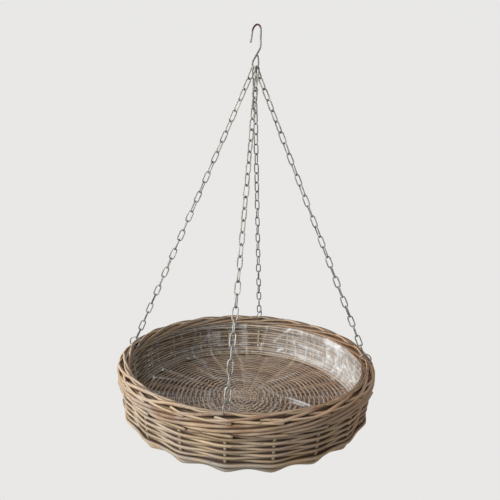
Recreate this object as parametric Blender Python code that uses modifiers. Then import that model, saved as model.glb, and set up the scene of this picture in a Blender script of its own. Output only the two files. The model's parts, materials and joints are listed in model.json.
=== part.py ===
"""Hanging rattan basket: a wire hook, four welded-link chains, four wire rings and a woven round plan.

Metres, +Z up. The origin is the seat of the hook, the inside of its crown, where the basket hangs.
The four chains run to -X (left), +X (right), -Y (front) and +Y (rear).
"""
import math

import bmesh
import bpy
from mathutils import Matrix, Vector

# Clearances between pieces
CLEARANCE = 0.0003
MERGE_DISTANCE = 0.000003

# Hook
HOOK_WIRE = 0.0026
CROWN_WIDTH = 0.0205
TIP_DEPTH = 0.0220
TIP_FLARE = 0.0030
THROAT_OFFSET = 0.0024
EYE_DEPTH = 0.0598
EYE_LEGS = 0.0098
THROAT_RISE = 0.0188
SHANK_RISE = 0.0273
EYE_CORNER = 0.0026
EYE_SLACK = 0.0003
HOOK_TURN = math.radians(-45.0)

# Chain
CHAIN_WIRE = 0.0020
LINK_PITCH = 0.01675
LINK_WIDTH = 0.0093
LINK_CROWN_FLAT = 0.0030
LINK_SHOULDER = 0.0032
LINK_BITE = 0.00015
LINK_COUNT = 28
TOP_LINK_SPACING = 0.00245

# Rings that join the chains to the rim
RING_WIRE = 0.0020
RING_OUTER = 0.0190
RING_SLOT_CLEARANCE = 0.0005
RING_TURNS = {"left": 0, "rear": math.radians(25.0), "right": 0, "front": math.radians(22.0)}

# Basket
RIM_ROD = 0.0040
RIM_RADIUS = 0.1905
BORDER_HEIGHT = 0.0230
BORDER_WIDTH = 0.0215
BORDER_OUTSET = 0.0018
STAKE_COUNT = 20
STAKE = 0.0040
STAKE_OUTSET = 0.0063
STAKE_LEAN = math.radians(6.8)
STAKE_BEND = 0.0140
STAKE_FOOT = 0.0150
STAKE_SOCKET = 0.0100
WALL_OUTSIDE = 0.0062
WALL_INSIDE = 0.0060
WALL_ROWS = 9
WALL_ROD = 0.0041
WALL_GROOVE = 0.0012
ROD_COVER = 0.0005
BASKET_DEPTH = 0.0787
FOOT_ROD = 0.0055
FOOT_ROD_ANGLES = {"upper": math.radians(14.0), "lower": math.radians(54.0)}
FOOT_SCALLOP = 0.0045
BASE_STICK = 0.0045
BASE_THICKNESS = 0.0090
BASE_ROD = 0.0034
BASE_ROWS = 37
BASE_REST_ROWS = 6
BASE_OVERLAP = 0.0010
BASE_EYE_RADIUS = 0.0360
STICK_SPACING = 0.0070
STICK_CROSS_HALF = 0.0200
STICK_OFFSET = 0.0065
BORE_OVERRUN = 0.0060
LINER_FILM = 0.0008
LINER_CORNER = 0.0160

# Facets: steps round the plan (two for each stake), steps round a ring and sides of a rod
ROUND_STEPS = 2 * STAKE_COUNT
RING_STEPS = 24
ROD_SIDES = 6
# Rows of the base that share a corner half-way between two spokes
ROWS_JOINED = 6
COLOURS = {
    "galvanised_steel": ((0.42, 0.42, 0.40, 1.0), 0.40, 1.0),
    "rattan": ((0.36, 0.27, 0.18, 1.0), 0.75, 0.0),
    "rattan_border": ((0.40, 0.28, 0.17, 1.0), 0.70, 0.0),
    "clear_film": ((0.80, 0.82, 0.82, 1.0), 0.15, 0.0),
}

# Sizes that follow from the ones above
CROWN_RADIUS = CROWN_WIDTH / 2
EYE_LEVEL = HOOK_WIRE / 2 - EYE_DEPTH
EYE_SHOULDER_DEPTH = EYE_DEPTH - EYE_LEGS
THROAT_DEPTH = EYE_DEPTH - THROAT_RISE
SHANK_DEPTH = EYE_DEPTH - SHANK_RISE
EYE_HALF_WIDTH = 1.5 * TOP_LINK_SPACING + CHAIN_WIRE / 2 + CLEARANCE + HOOK_WIRE / 2 + EYE_SLACK
LINK_SIDE = CHAIN_WIRE * math.sqrt(math.pi) / 2
LINK_HALF_WIDTH = (LINK_WIDTH - CHAIN_WIRE) / 2
LINK_TURN = math.atan2(LINK_SHOULDER, LINK_HALF_WIDTH - LINK_CROWN_FLAT / 2)
LINK_CROWN = LINK_SIDE * math.cos(LINK_TURN / 2)
LINK_LENGTH = LINK_PITCH + LINK_CROWN - LINK_BITE
RING_RADIUS = (RING_OUTER - RING_WIRE) / 2
SEATED_LENGTH = (3 * (LINK_LENGTH - LINK_CROWN) + (LINK_COUNT - 3) * LINK_PITCH
                 - HOOK_WIRE / 2 - RING_WIRE + 2 * RING_RADIUS - RIM_ROD / 2)
SEAT_COUNT = 5
STAKE_PITCH = 2 * math.pi / STAKE_COUNT
HOOK_AXIS = Vector((math.cos(HOOK_TURN), math.sin(HOOK_TURN), 0))
STRANDS = {"left": (Vector((-1, 0, 0)), -1.5), "rear": (Vector((0, 1, 0)), -0.5),
           "right": (Vector((1, 0, 0)), 0.5), "front": (Vector((0, -1, 0)), 1.5)}
NEIGHBOURS = {"left": "rear", "rear": "left", "right": "front", "front": "right"}


def clear_scene():
    for item in list(bpy.data.objects):
        bpy.data.objects.remove(item, do_unlink=True)


def new_collection(name):
    collection = bpy.data.collections.new(name)
    bpy.context.scene.collection.children.link(collection)
    return collection


def new_material(name):
    colour, roughness, metallic = COLOURS[name]
    material = bpy.data.materials.new(name)
    material.use_nodes = True
    shader = material.node_tree.nodes["Principled BSDF"]
    shader.inputs["Base Color"].default_value = colour
    shader.inputs["Roughness"].default_value = roughness
    shader.inputs["Metallic"].default_value = metallic
    material.diffuse_color = colour
    return material


def add_object(name, data, material, matrix=None, parent=None):
    """Put a mesh or curve in the basket's collection, under its parent empty if it has one."""
    item = bpy.data.objects.new(name, data)
    PARTS.objects.link(item)
    if not data.materials:
        data.materials.append(MATERIALS[material])
    place(item, matrix, parent)
    return item


def place(item, matrix=None, parent=None):
    if parent:
        item.parent = parent
        item.matrix_parent_inverse = parent.matrix_world.inverted()
    item.matrix_world = matrix or Matrix.Identity(4)


def add_pivot(name, location, parent=None):
    """An empty on the axis that its pieces turn about, or at the level that they are set out from."""
    empty = bpy.data.objects.new(name, None)
    PARTS.objects.link(empty)
    place(empty, Matrix.Translation(location), parent)
    bpy.context.view_layer.update()
    return empty


def wire_curve(name, points, radius, cyclic=False, resolution=1, tilt=0):
    """A wire or rod along points, with closed ends."""
    curve = bpy.data.curves.new(name, "CURVE")
    curve.dimensions = "3D"
    curve.bevel_depth = radius
    curve.bevel_resolution = resolution
    curve.use_fill_caps = not cyclic
    spline = curve.splines.new("POLY")
    spline.points.add(len(points) - 1)
    for spot, point in zip(spline.points, points):
        spot.co = (*point, 1)
        spot.tilt = tilt
    spline.use_cyclic_u = cyclic
    return curve


def mesh_of(curve):
    """The curve's solid as a mesh, with its caps welded on."""
    holder = bpy.data.objects.new("holder", curve)
    bpy.context.scene.collection.objects.link(holder)
    bpy.context.view_layer.update()
    graph = bpy.context.evaluated_depsgraph_get()
    mesh = bpy.data.meshes.new_from_object(holder.evaluated_get(graph))
    bpy.data.objects.remove(holder, do_unlink=True)
    work = bmesh.new()
    work.from_mesh(mesh)
    bmesh.ops.remove_doubles(work, verts=work.verts, dist=MERGE_DISTANCE)
    bmesh.ops.recalc_face_normals(work, faces=work.faces)
    work.to_mesh(mesh)
    work.free()
    return mesh


def joined(mesh, matrices, name):
    """One mesh with a copy of the given mesh at each place."""
    work = bmesh.new()
    for matrix in matrices:
        first = len(work.verts)
        work.from_mesh(mesh)
        work.verts.ensure_lookup_table()
        bmesh.ops.transform(work, matrix=matrix, verts=work.verts[first:])
    copy = bpy.data.meshes.new(name)
    work.to_mesh(copy)
    work.free()
    return copy


def add_turned(name, outline, material, parent, closed=True):
    """Turn an outline of (radius, height) points, running down its outer side, about the parent's Z."""
    mesh = bpy.data.meshes.new(name)
    work = bmesh.new()
    corners = [work.verts.new((radius, 0, height)) for radius, height in outline]
    ends = corners[1:] + corners[:1] if closed else corners[1:]
    for first, second in zip(corners, ends):
        work.edges.new((first, second))
    work.to_mesh(mesh)
    work.free()
    item = add_object(name, mesh, material, parent.matrix_world.copy(), parent)
    screw = item.modifiers.new("turn", "SCREW")
    screw.steps = ROUND_STEPS
    screw.render_steps = ROUND_STEPS
    screw.use_merge_vertices = True
    screw.merge_threshold = MERGE_DISTANCE
    screw.use_smooth_shade = True
    return item


def add_woven(name, count, place_of, parent, start=0, shared=None):
    """Spin a closed line of points about the parent's Z, each moved to where the weave has it.

    place_of gives the radius and height of a point of the line at a turn from the start. shared
    names, for a point, the point that takes its place half-way between two spokes.
    """
    work = bmesh.new()
    number = work.verts.layers.int.new("number")
    line = []
    for index in range(count):
        radius, height = place_of(index, 0)
        line.append(work.verts.new((radius, 0, height)))
        line[index][number] = index
    edges = [work.edges.new((first, second)) for first, second in zip(line, line[1:] + line[:1])]
    bmesh.ops.spin(work, geom=line + edges, cent=(0, 0, 0), axis=(0, 0, 1), steps=ROUND_STEPS,
                   angle=2 * math.pi, use_merge=True)
    between = {}
    for vert in work.verts:
        step = round(math.atan2(vert.co.y, vert.co.x) / STAKE_PITCH * 2)
        turn = step * STAKE_PITCH / 2
        radius, height = place_of(vert[number], turn)
        vert.co = (radius * math.cos(turn + start), radius * math.sin(turn + start), height)
        if step % 2:
            between[step, vert[number]] = vert
    if shared:
        welds = {vert: between[step, shared(index)] for (step, index), vert in between.items()
                 if shared(index) != index}
        bmesh.ops.weld_verts(work, targetmap=welds)
    bmesh.ops.triangulate(work, faces=work.faces)
    bmesh.ops.recalc_face_normals(work, faces=work.faces)
    mesh = bpy.data.meshes.new(name)
    work.to_mesh(mesh)
    work.free()
    mesh.shade_smooth()
    return add_object(name, mesh, "rattan", parent.matrix_world.copy(), parent)


def rod_face(wave, rod, reach, cover):
    """How far a woven rod's face stands from the stakes' line: out at a stake, or behind its cover."""
    return max(rod / 2 + (reach - rod / 2) * wave, cover * abs(wave))


def add_cutter(name, mesh):
    cutter = bpy.data.objects.new(name, mesh)
    CUTTERS.objects.link(cutter)
    cutter.hide_render = True
    cutter.display_type = "WIRE"
    return cutter


def add_boolean(item, other, operation):
    modifier = item.modifiers.new(other.name, "BOOLEAN")
    modifier.operation = operation
    modifier.solver = "EXACT"
    modifier.object = other


def hook_point(across, depth):
    """A point of the hook's flat wire shape, across its plane and below the crown's top."""
    return HOOK_AXIS * across + Vector((0, 0, HOOK_WIRE / 2 - depth))


def arc(centre, radius, start, stop, steps):
    """Points of an arc in the hook's plane, as (across, depth)."""
    points = []
    for step in range(steps + 1):
        angle = start + (stop - start) * step / steps
        points.append((centre[0] + radius * math.cos(angle), centre[1] - radius * math.sin(angle)))
    return points


def build_hook():
    """One wire: tip, crown, shank, a slanting throat, then round the eye and back to the throat."""
    eye_bottom = EYE_DEPTH - EYE_CORNER
    corner_across = EYE_HALF_WIDTH - EYE_CORNER
    shank_foot = Vector((CROWN_RADIUS, SHANK_DEPTH))
    throat = Vector((THROAT_OFFSET, THROAT_DEPTH))
    slope = (throat - shank_foot).normalized()
    wire_end = throat + Vector((slope.y, -slope.x)) * (HOOK_WIRE + CLEARANCE)
    path = [(-CROWN_RADIUS - TIP_FLARE, TIP_DEPTH)]
    path += arc((0, CROWN_RADIUS), CROWN_RADIUS, math.pi, 0, 10)
    path += [tuple(shank_foot), tuple(throat), (-EYE_HALF_WIDTH, EYE_SHOULDER_DEPTH)]
    path += arc((-corner_across, eye_bottom), EYE_CORNER, math.pi, 1.5 * math.pi, 3)
    path += arc((corner_across, eye_bottom), EYE_CORNER, 1.5 * math.pi, 2 * math.pi, 3)
    path += [(EYE_HALF_WIDTH, EYE_SHOULDER_DEPTH), tuple(wire_end)]
    points = [hook_point(across, depth) for across, depth in path]
    curve = wire_curve("hook", points, HOOK_WIRE / 2, resolution=2)
    add_object("hook", mesh_of(curve), "galvanised_steel")


def link_mesh():
    """A welded link standing in the YZ plane, of square wire with the round wire's section area."""
    half_length = LINK_LENGTH / 2
    shoulder = half_length - LINK_SHOULDER
    crown = LINK_CROWN_FLAT / 2
    quarter = [(crown, half_length), (LINK_HALF_WIDTH, shoulder)]
    outline = quarter + [(across, -height) for across, height in reversed(quarter)]
    outline += [(-across, -height) for across, height in outline]
    points = [(0, across, height) for across, height in outline]
    curve = wire_curve("link", points, LINK_SIDE / math.sqrt(2), cyclic=True, resolution=0, tilt=math.pi / 4)
    return mesh_of(curve)


def seat_points():
    """Where each strand starts on the eye and where the rim rod runs through its ring."""
    level_reach = SEATED_LENGTH - SEAT_COUNT * CLEARANCE
    lean = RIM_RADIUS / level_reach
    crown_reach = HOOK_WIRE / 2 + CLEARANCE + LINK_CROWN / 2
    starts = {}
    for side, (outward, slot) in STRANDS.items():
        across = slot * TOP_LINK_SPACING + crown_reach * lean * HOOK_AXIS.dot(outward)
        starts[side] = HOOK_AXIS * across + Vector((0, 0, EYE_LEVEL))
    flat_reach = max((STRANDS[side][0] * RIM_RADIUS - start).xy.length for side, start in starts.items())
    drop = math.sqrt(level_reach ** 2 - flat_reach ** 2)
    seats = {side: STRANDS[side][0] * RIM_RADIUS + Vector((0, 0, EYE_LEVEL - drop)) for side in STRANDS}
    return starts, seats


def top_link_normal(side, starts, seats):
    """Neighbouring top links lie in parallel planes, square to this direction along the eye."""
    other = NEIGHBOURS[side]
    normal = (seats[side] - starts[side]).cross(seats[other] - starts[other]).normalized()
    return normal if normal.dot(HOOK_AXIS) > 0 else -normal


def build_strand(side, starts, seats, mesh):
    """Top link, a run of links and end link in line from the eye to the rim; returns the ring's place."""
    outward = STRANDS[side][0]
    start = starts[side]
    seat = seats[side]
    span = seat - start
    down = span.normalized()
    gap = (SEATED_LENGTH - span.length) / SEAT_COUNT
    first_normal = top_link_normal(side, starts, seats)
    last_normal = (outward - down * outward.dot(down)).normalized()
    frame = Matrix((first_normal, (-down).cross(first_normal), -down)).transposed()
    turn = math.atan2(last_normal.dot(frame.col[1]), last_normal.dot(frame.col[0])) + math.pi / 2
    twist = math.remainder(turn - (LINK_COUNT - 1) * math.pi / 2 - math.pi / 2, math.pi) / (LINK_COUNT - 1)
    loose_step = LINK_LENGTH - LINK_CROWN - gap
    level = HOOK_WIRE / 2 + gap + LINK_CROWN / 2 - LINK_LENGTH / 2
    places = []
    for index in range(LINK_COUNT):
        angle = index * (math.pi / 2 + twist)
        places.append(Matrix.Translation((0, 0, level)) @ Matrix.Rotation(angle, 4, "Z"))
        level -= loose_step if index in (0, LINK_COUNT - 2) else LINK_PITCH
    pivot = add_pivot("strand_%s_pivot" % side, start)
    matrix = Matrix.Translation(start) @ frame.to_4x4()
    top = joined(mesh, places[:1], "top_link_" + side)
    add_object("top_link_" + side, top, "galvanised_steel", matrix, pivot)
    odd = joined(mesh, places[1:-1:2], "chain_" + side)
    even = joined(mesh, places[2:-1:2], "chain_%s_even" % side)
    run = add_object("chain_" + side, odd, "galvanised_steel", matrix, pivot)
    other = add_cutter("chain_%s_even" % side, even)
    other.matrix_world = matrix
    add_boolean(run, other, "UNION")
    end = joined(mesh, places[-1:], "end_link_" + side)
    add_object("end_link_" + side, end, "galvanised_steel", matrix, pivot)
    return ring_matrix(side, seat - down * (RING_RADIUS - RING_WIRE / 2 - gap - RIM_ROD / 2), down)


def ring_axis(side, down):
    """The rings hang in upright planes through the basket's axis, some turned about their strand."""
    across = Vector((0, 0, 1)).cross(STRANDS[side][0])
    return Matrix.Rotation(RING_TURNS[side], 3, down) @ across


def ring_matrix(side, centre, down):
    return Matrix.Translation(centre) @ ring_axis(side, down).to_track_quat("Z", "Y").to_matrix().to_4x4()


def add_torus(name, radius, thickness, steps, material, matrix, parent):
    bpy.ops.mesh.primitive_torus_add(major_radius=radius, minor_radius=thickness / 2,
                                     major_segments=steps, minor_segments=ROD_SIDES)
    ring = bpy.context.object
    ring.name = name
    for collection in ring.users_collection:
        collection.objects.unlink(ring)
    PARTS.objects.link(ring)
    ring.data.materials.append(MATERIALS[material])
    ring.data.shade_smooth()
    place(ring, matrix, parent)


class BasketPlan:
    """The basket's own levels, from the centre of the rim rod, and radii, from its axis."""

    def __init__(self):
        self.border_top = -RIM_ROD / 2 - CLEARANCE
        self.border_bottom = self.border_top - BORDER_HEIGHT
        self.base_level = -BASKET_DEPTH
        self.base_top = self.base_level + BASE_THICKNESS / 2
        self.base_bottom = self.base_level - BASE_THICKNESS / 2
        self.stake_top = self.border_bottom + STAKE_SOCKET
        self.slope = math.tan(STAKE_LEAN)
        self.bend_angle = math.pi / 2 - STAKE_LEAN
        self.bend_level = self.base_level + STAKE_BEND
        self.bend_radius = self.stake_radius(self.base_level) - STAKE_BEND * math.tan(self.bend_angle / 2)
        self.base_radius = self.bend_radius + BASE_OVERLAP
        self.foot_reach = STAKE_BEND + STAKE / 2 + CLEARANCE + FOOT_ROD / 2
        self.wall_top = self.border_bottom - CLEARANCE
        upper_level = self.foot_place(FOOT_ROD_ANGLES["upper"])[1]
        self.wall_bottom = upper_level + FOOT_ROD / 2 + CLEARANCE

    def stake_radius(self, level):
        """The radius of a stake's straight part at a level."""
        return RIM_RADIUS + STAKE_OUTSET + (level - self.border_top) * self.slope

    def foot_place(self, angle):
        """A foot rod's centre, at an angle below level round the stakes' bend."""
        return (self.bend_radius + self.foot_reach * math.cos(angle),
                self.bend_level - self.foot_reach * math.sin(angle))


def build_border(plan, parent):
    """The rolled border under the rim rod; its outline runs down the outer side and back up the inner."""
    shape_shares = ((0.18, 0.0), (0.38, 0.12), (0.50, 0.34), (0.50, 0.70), (0.40, 1.0),
                    (-0.24, 1.0), (-0.42, 0.84), (-0.50, 0.55), (-0.45, 0.25), (-0.18, 0.0))
    middle = RIM_RADIUS + BORDER_OUTSET
    outline = [(middle + across_share * BORDER_WIDTH, plan.border_top - depth_share * BORDER_HEIGHT)
               for across_share, depth_share in shape_shares]
    return add_turned("border_roll", outline, "rattan_border", parent)


def cut_ring_slots(border, rings):
    """A slot in the border for each ring, so that it can turn."""
    radius = RING_OUTER / 2 + RING_SLOT_CLEARANCE
    for side, matrix in rings.items():
        work = bmesh.new()
        bmesh.ops.create_cone(work, cap_ends=True, segments=RING_STEPS, radius1=radius, radius2=radius,
                              depth=RING_WIRE + 2 * RING_SLOT_CLEARANCE)
        mesh = bpy.data.meshes.new("ring_slot_" + side)
        work.to_mesh(mesh)
        work.free()
        cutter = add_cutter("ring_slot_" + side, mesh)
        cutter.matrix_world = matrix
        add_boolean(border, cutter, "DIFFERENCE")


def stake_points(plan, extra):
    """A side stake's centre line in its own plane, from its foot in the base, round the bend, up."""
    points = [(plan.base_radius - STAKE_FOOT - extra, 0, plan.base_level)]
    steps = 3
    for step in range(steps + 1):
        angle = plan.bend_angle * step / steps
        points.append((plan.bend_radius + STAKE_BEND * math.sin(angle), 0,
                       plan.bend_level - STAKE_BEND * math.cos(angle)))
    top = plan.stake_top + extra
    points.append((plan.stake_radius(top), 0, top))
    return points


def spoke_turns():
    return [Matrix.Rotation(index * STAKE_PITCH, 4, "Z") for index in range(STAKE_COUNT)]


def build_stakes(plan, parent):
    mesh = mesh_of(wire_curve("side_stake", stake_points(plan, 0), STAKE / 2))
    mesh.shade_smooth()
    for index, turn in enumerate(spoke_turns()):
        add_object("side_stake_%02d" % (index + 1), mesh, "rattan", parent.matrix_world @ turn, parent)


def stake_bores(plan, parent):
    """The bores that take the stakes in the wall, the border and the edge of the base."""
    mesh = mesh_of(wire_curve("stake_bore", stake_points(plan, CLEARANCE), STAKE / 2 + CLEARANCE))
    cutter = add_cutter("stake_bores", joined(mesh, spoke_turns(), "stake_bores"))
    cutter.matrix_world = parent.matrix_world.copy()
    return cutter


def build_side_weave(plan, bores, parent):
    """The woven wall: each row passes in front of one stake and behind the next, with grooves between."""
    row_pitch = (plan.wall_top - plan.wall_bottom) / WALL_ROWS
    marks = list(range(2 * WALL_ROWS + 1))
    line = [(1, mark) for mark in marks] + [(-1, mark) for mark in reversed(marks)]
    cover = STAKE / 2 + CLEARANCE + ROD_COVER

    def place_of(index, turn):
        side, mark = line[index]
        level = plan.wall_top - mark * row_pitch / 2
        wave = side * math.cos(turn / STAKE_PITCH * math.pi + mark // 2 * math.pi)
        if mark % 2:
            face = rod_face(wave, WALL_ROD, WALL_OUTSIDE if side > 0 else WALL_INSIDE, cover)
        else:
            face = (WALL_ROD / 2 - WALL_GROOVE) * (1 - abs(wave)) + cover * abs(wave)
        return plan.stake_radius(level) + side * face, level

    wall = add_woven("side_weave", len(line), place_of, parent)
    add_boolean(wall, bores, "DIFFERENCE")


def build_foot_rods(plan, parent):
    """Thick rods bent round the outside of the stakes, drawn in between one stake and the next."""
    for name, angle in FOOT_ROD_ANGLES.items():
        radius, level = plan.foot_place(angle)
        points = []
        for step in range(2 * STAKE_COUNT):
            turn = STAKE_PITCH * step / 2
            flat = radius - FOOT_SCALLOP * (step % 2)
            points.append((flat * math.cos(turn), flat * math.sin(turn), level))
        mesh = mesh_of(wire_curve("foot_rod_" + name, points, FOOT_ROD / 2, cyclic=True))
        mesh.shade_smooth()
        add_object("foot_rod_" + name, mesh, "rattan", parent.matrix_world.copy(), parent)


def stick_points(plan, order, layer):
    """A base stick's centre line: a spoke at each end, side by side with its neighbours over the middle."""
    swing = STICK_OFFSET / plan.base_radius
    height = plan.base_level + layer * (BASE_STICK + CLEARANCE) / 2
    points = []
    for angle in (order * STAKE_PITCH + swing, math.pi - order * STAKE_PITCH + swing):
        sign = 1 if math.cos(angle) > 0 else -1
        half = [(plan.base_radius * math.cos(angle), plan.base_radius * math.sin(angle), plan.base_level),
                (BASE_EYE_RADIUS * math.cos(angle), BASE_EYE_RADIUS * math.sin(angle), plan.base_level),
                (sign * STICK_CROSS_HALF, order * STICK_SPACING, height)]
        points = half if not points else points + half[::-1]
    return points


def build_sticks(plan, parent):
    """Half of the sticks cross over the other half; their ends are the spokes of the base."""
    half = STAKE_COUNT // 4
    for way, layer, turn in (("across", 1, 0), ("fore_aft", -1, math.pi / 2)):
        for index in range(half):
            order = index - (half - 1) / 2
            mesh = mesh_of(wire_curve("base_stick", stick_points(plan, order, layer), BASE_STICK / 2))
            mesh.shade_smooth()
            matrix = parent.matrix_world @ Matrix.Rotation(turn, 4, "Z")
            add_object("base_stick_%s_%d" % (way, index + 1), mesh, "rattan", matrix, parent)


def stick_bores(plan, radius, parent):
    """Bores for the spokes."""
    points = [(BASE_EYE_RADIUS - BORE_OVERRUN, 0, plan.base_level),
              (plan.base_radius + BORE_OVERRUN, 0, plan.base_level)]
    swing = Matrix.Rotation(STICK_OFFSET / plan.base_radius, 4, "Z")
    mesh = mesh_of(wire_curve("stick_bore", points, radius))
    cutter = add_cutter("stick_bores", joined(mesh, [swing @ turn for turn in spoke_turns()], "stick_bores"))
    cutter.matrix_world = parent.matrix_world.copy()
    return cutter


def build_base_weave(plan, bores, parent):
    """The woven floor: rings of rods that pass over one spoke and under the next, round the crossing.

    Below, the outermost rows make the level band that the basket stands on.
    """
    row_pitch = (plan.base_radius - BASE_EYE_RADIUS) / (BASE_ROWS - 1)
    rows = list(range(BASE_ROWS))
    rest_row = rows[-1] - BASE_REST_ROWS
    line = [(1, row) for row in reversed(rows)]
    line += [(-1, row) for row in rows if row <= rest_row or row == rows[-1]]
    bore_radius = (BASE_STICK / 2 + CLEARANCE) / math.cos(math.pi / ROD_SIDES)

    def place_of(index, turn):
        side, row = line[index]
        wave = side * math.cos(turn / STAKE_PITCH * math.pi + row * math.pi)
        face = rod_face(wave, BASE_ROD, BASE_THICKNESS / 2, bore_radius + ROD_COVER)
        if side < 0 and row >= rest_row:
            face = BASE_THICKNESS / 2
        return BASE_EYE_RADIUS + row * row_pitch, plan.base_level + side * face

    def shared(index):
        side, row = line[index]
        return line.index((side, row // ROWS_JOINED * ROWS_JOINED))

    swing = STICK_OFFSET / plan.base_radius
    floor = add_woven("base_weave", len(line), place_of, parent, start=swing, shared=shared)
    add_boolean(floor, bores, "DIFFERENCE")
    add_boolean(floor, stick_bores(plan, bore_radius, parent), "DIFFERENCE")


def build_liner(plan, parent):
    """The film: up the inside of the wall from the base, with its top edge under the border."""
    floor = plan.base_top + CLEARANCE
    top = plan.border_bottom - CLEARANCE
    inset = WALL_INSIDE + CLEARANCE
    foot_radius = plan.stake_radius(floor) - inset
    steps = 3
    profile = [(plan.stake_radius(top) - inset, top)]
    for step in range(steps + 1):
        angle = math.pi / 2 * step / steps
        profile.append((foot_radius - LINER_CORNER * (1 - math.cos(angle)),
                        floor + LINER_CORNER * (1 - math.sin(angle))))
    profile.append((0, floor))
    item = add_turned("liner", profile, "clear_film", parent, closed=False)
    film = item.modifiers.new("film", "SOLIDIFY")
    film.thickness = LINER_FILM
    film.offset = -1
    film.use_even_offset = True


def main():
    build_hook()
    starts, seats = seat_points()
    swing = add_pivot("basket_swing", (0, 0, EYE_LEVEL))
    parent = add_pivot("basket_frame", (0, 0, seats["left"].z), swing)
    mesh = link_mesh()
    rings = {side: build_strand(side, starts, seats, mesh) for side in STRANDS}
    for side, matrix in rings.items():
        add_torus("ring_" + side, RING_RADIUS, RING_WIRE, RING_STEPS, "galvanised_steel", matrix, parent)
    plan = BasketPlan()
    add_torus("rim_rod", RIM_RADIUS, RIM_ROD, ROUND_STEPS, "rattan_border",
              parent.matrix_world.copy(), parent)
    bores = stake_bores(plan, parent)
    border = build_border(plan, parent)
    cut_ring_slots(border, rings)
    add_boolean(border, bores, "DIFFERENCE")
    build_side_weave(plan, bores, parent)
    build_stakes(plan, parent)
    build_foot_rods(plan, parent)
    build_sticks(plan, parent)
    build_base_weave(plan, bores, parent)
    build_liner(plan, parent)


clear_scene()
PARTS = new_collection("hanging_rattan_basket")
CUTTERS = new_collection("cutters")
MATERIALS = {name: new_material(name) for name in COLOURS}
main()
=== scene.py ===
"""Finished pieces of the hanging rattan basket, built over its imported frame.

Metres, +Z up. The origin is the seat of the hook. The chains run to -X (left), +X (right),
-Y (front) and +Y (rear). Rods are swept circles; each carries its own straightened space.
"""
import json
import math
import random

import bmesh
import bpy
from bpy.props import FloatProperty, FloatVectorProperty, IntProperty, PointerProperty
from mathutils import Matrix, Vector, geometry, noise


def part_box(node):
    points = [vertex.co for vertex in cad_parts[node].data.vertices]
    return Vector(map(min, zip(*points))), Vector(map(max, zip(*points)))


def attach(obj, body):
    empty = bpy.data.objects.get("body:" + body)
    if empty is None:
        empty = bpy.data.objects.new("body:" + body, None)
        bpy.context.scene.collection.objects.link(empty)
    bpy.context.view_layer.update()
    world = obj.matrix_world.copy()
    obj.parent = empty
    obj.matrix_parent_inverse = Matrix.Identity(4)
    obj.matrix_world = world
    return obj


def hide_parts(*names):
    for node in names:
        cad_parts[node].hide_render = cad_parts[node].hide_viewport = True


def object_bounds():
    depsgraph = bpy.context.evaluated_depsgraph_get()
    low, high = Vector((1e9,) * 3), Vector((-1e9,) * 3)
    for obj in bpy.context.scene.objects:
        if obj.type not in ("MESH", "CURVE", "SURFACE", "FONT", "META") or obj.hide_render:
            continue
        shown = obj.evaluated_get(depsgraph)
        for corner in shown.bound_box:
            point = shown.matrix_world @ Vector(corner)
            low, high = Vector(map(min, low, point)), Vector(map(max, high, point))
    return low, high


bl_info = {
    "name": "Hanging rattan basket",
    "version": (1, 0, 0),
    "blender": (4, 5, 0),
    "location": "View3D > Sidebar > Basket",
    "description": "Makes the rods, wires, film and studio of a hanging rattan basket",
    "category": "Object",
}

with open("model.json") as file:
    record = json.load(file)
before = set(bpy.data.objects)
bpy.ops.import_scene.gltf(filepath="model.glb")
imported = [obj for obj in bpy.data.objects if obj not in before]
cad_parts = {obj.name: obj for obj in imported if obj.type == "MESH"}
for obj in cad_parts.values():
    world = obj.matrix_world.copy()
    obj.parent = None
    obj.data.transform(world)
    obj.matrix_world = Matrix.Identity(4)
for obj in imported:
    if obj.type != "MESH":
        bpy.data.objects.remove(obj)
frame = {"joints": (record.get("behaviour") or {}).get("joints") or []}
CAD_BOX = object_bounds()
RIM_LOW, RIM_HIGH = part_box("rim_rod")
BORDER_LOW, BORDER_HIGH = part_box("border_roll")
WALL_LOW, WALL_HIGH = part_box("side_weave")
BASE_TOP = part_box("base_weave")[1].z

SIDES = ("left", "rear", "right", "front")
OUTWARD = {"left": Vector((-1, 0, 0)), "rear": Vector((0, 1, 0)),
           "right": Vector((1, 0, 0)), "front": Vector((0, -1, 0))}
NEIGHBOURS = {"left": "rear", "rear": "left", "right": "front", "front": "right"}
HOOK_AXIS = Vector((math.cos(math.radians(-45)), math.sin(math.radians(-45)), 0))
UP = Vector((0, 0, 1))
CLEARANCE = 0.0003
BORDER_WIDTH = 0.0215


def length(name, default, description):
    return FloatProperty(name=name, description=description, default=default, min=0, subtype="DISTANCE",
                         unit="LENGTH", precision=5)


def angular(name, default, description):
    return FloatProperty(name=name, description=description, default=default, subtype="ANGLE")


def power(name, default, description):
    return FloatProperty(name=name, description=description, default=default, min=0, unit="POWER")


def count(name, default, least, description):
    return IntProperty(name=name, description=description, default=default, min=least)


def colour(name, default, description):
    return FloatVectorProperty(name=name, description=description, default=(*default, 1), size=4, min=0, max=1,
                               subtype="COLOR")


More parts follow.
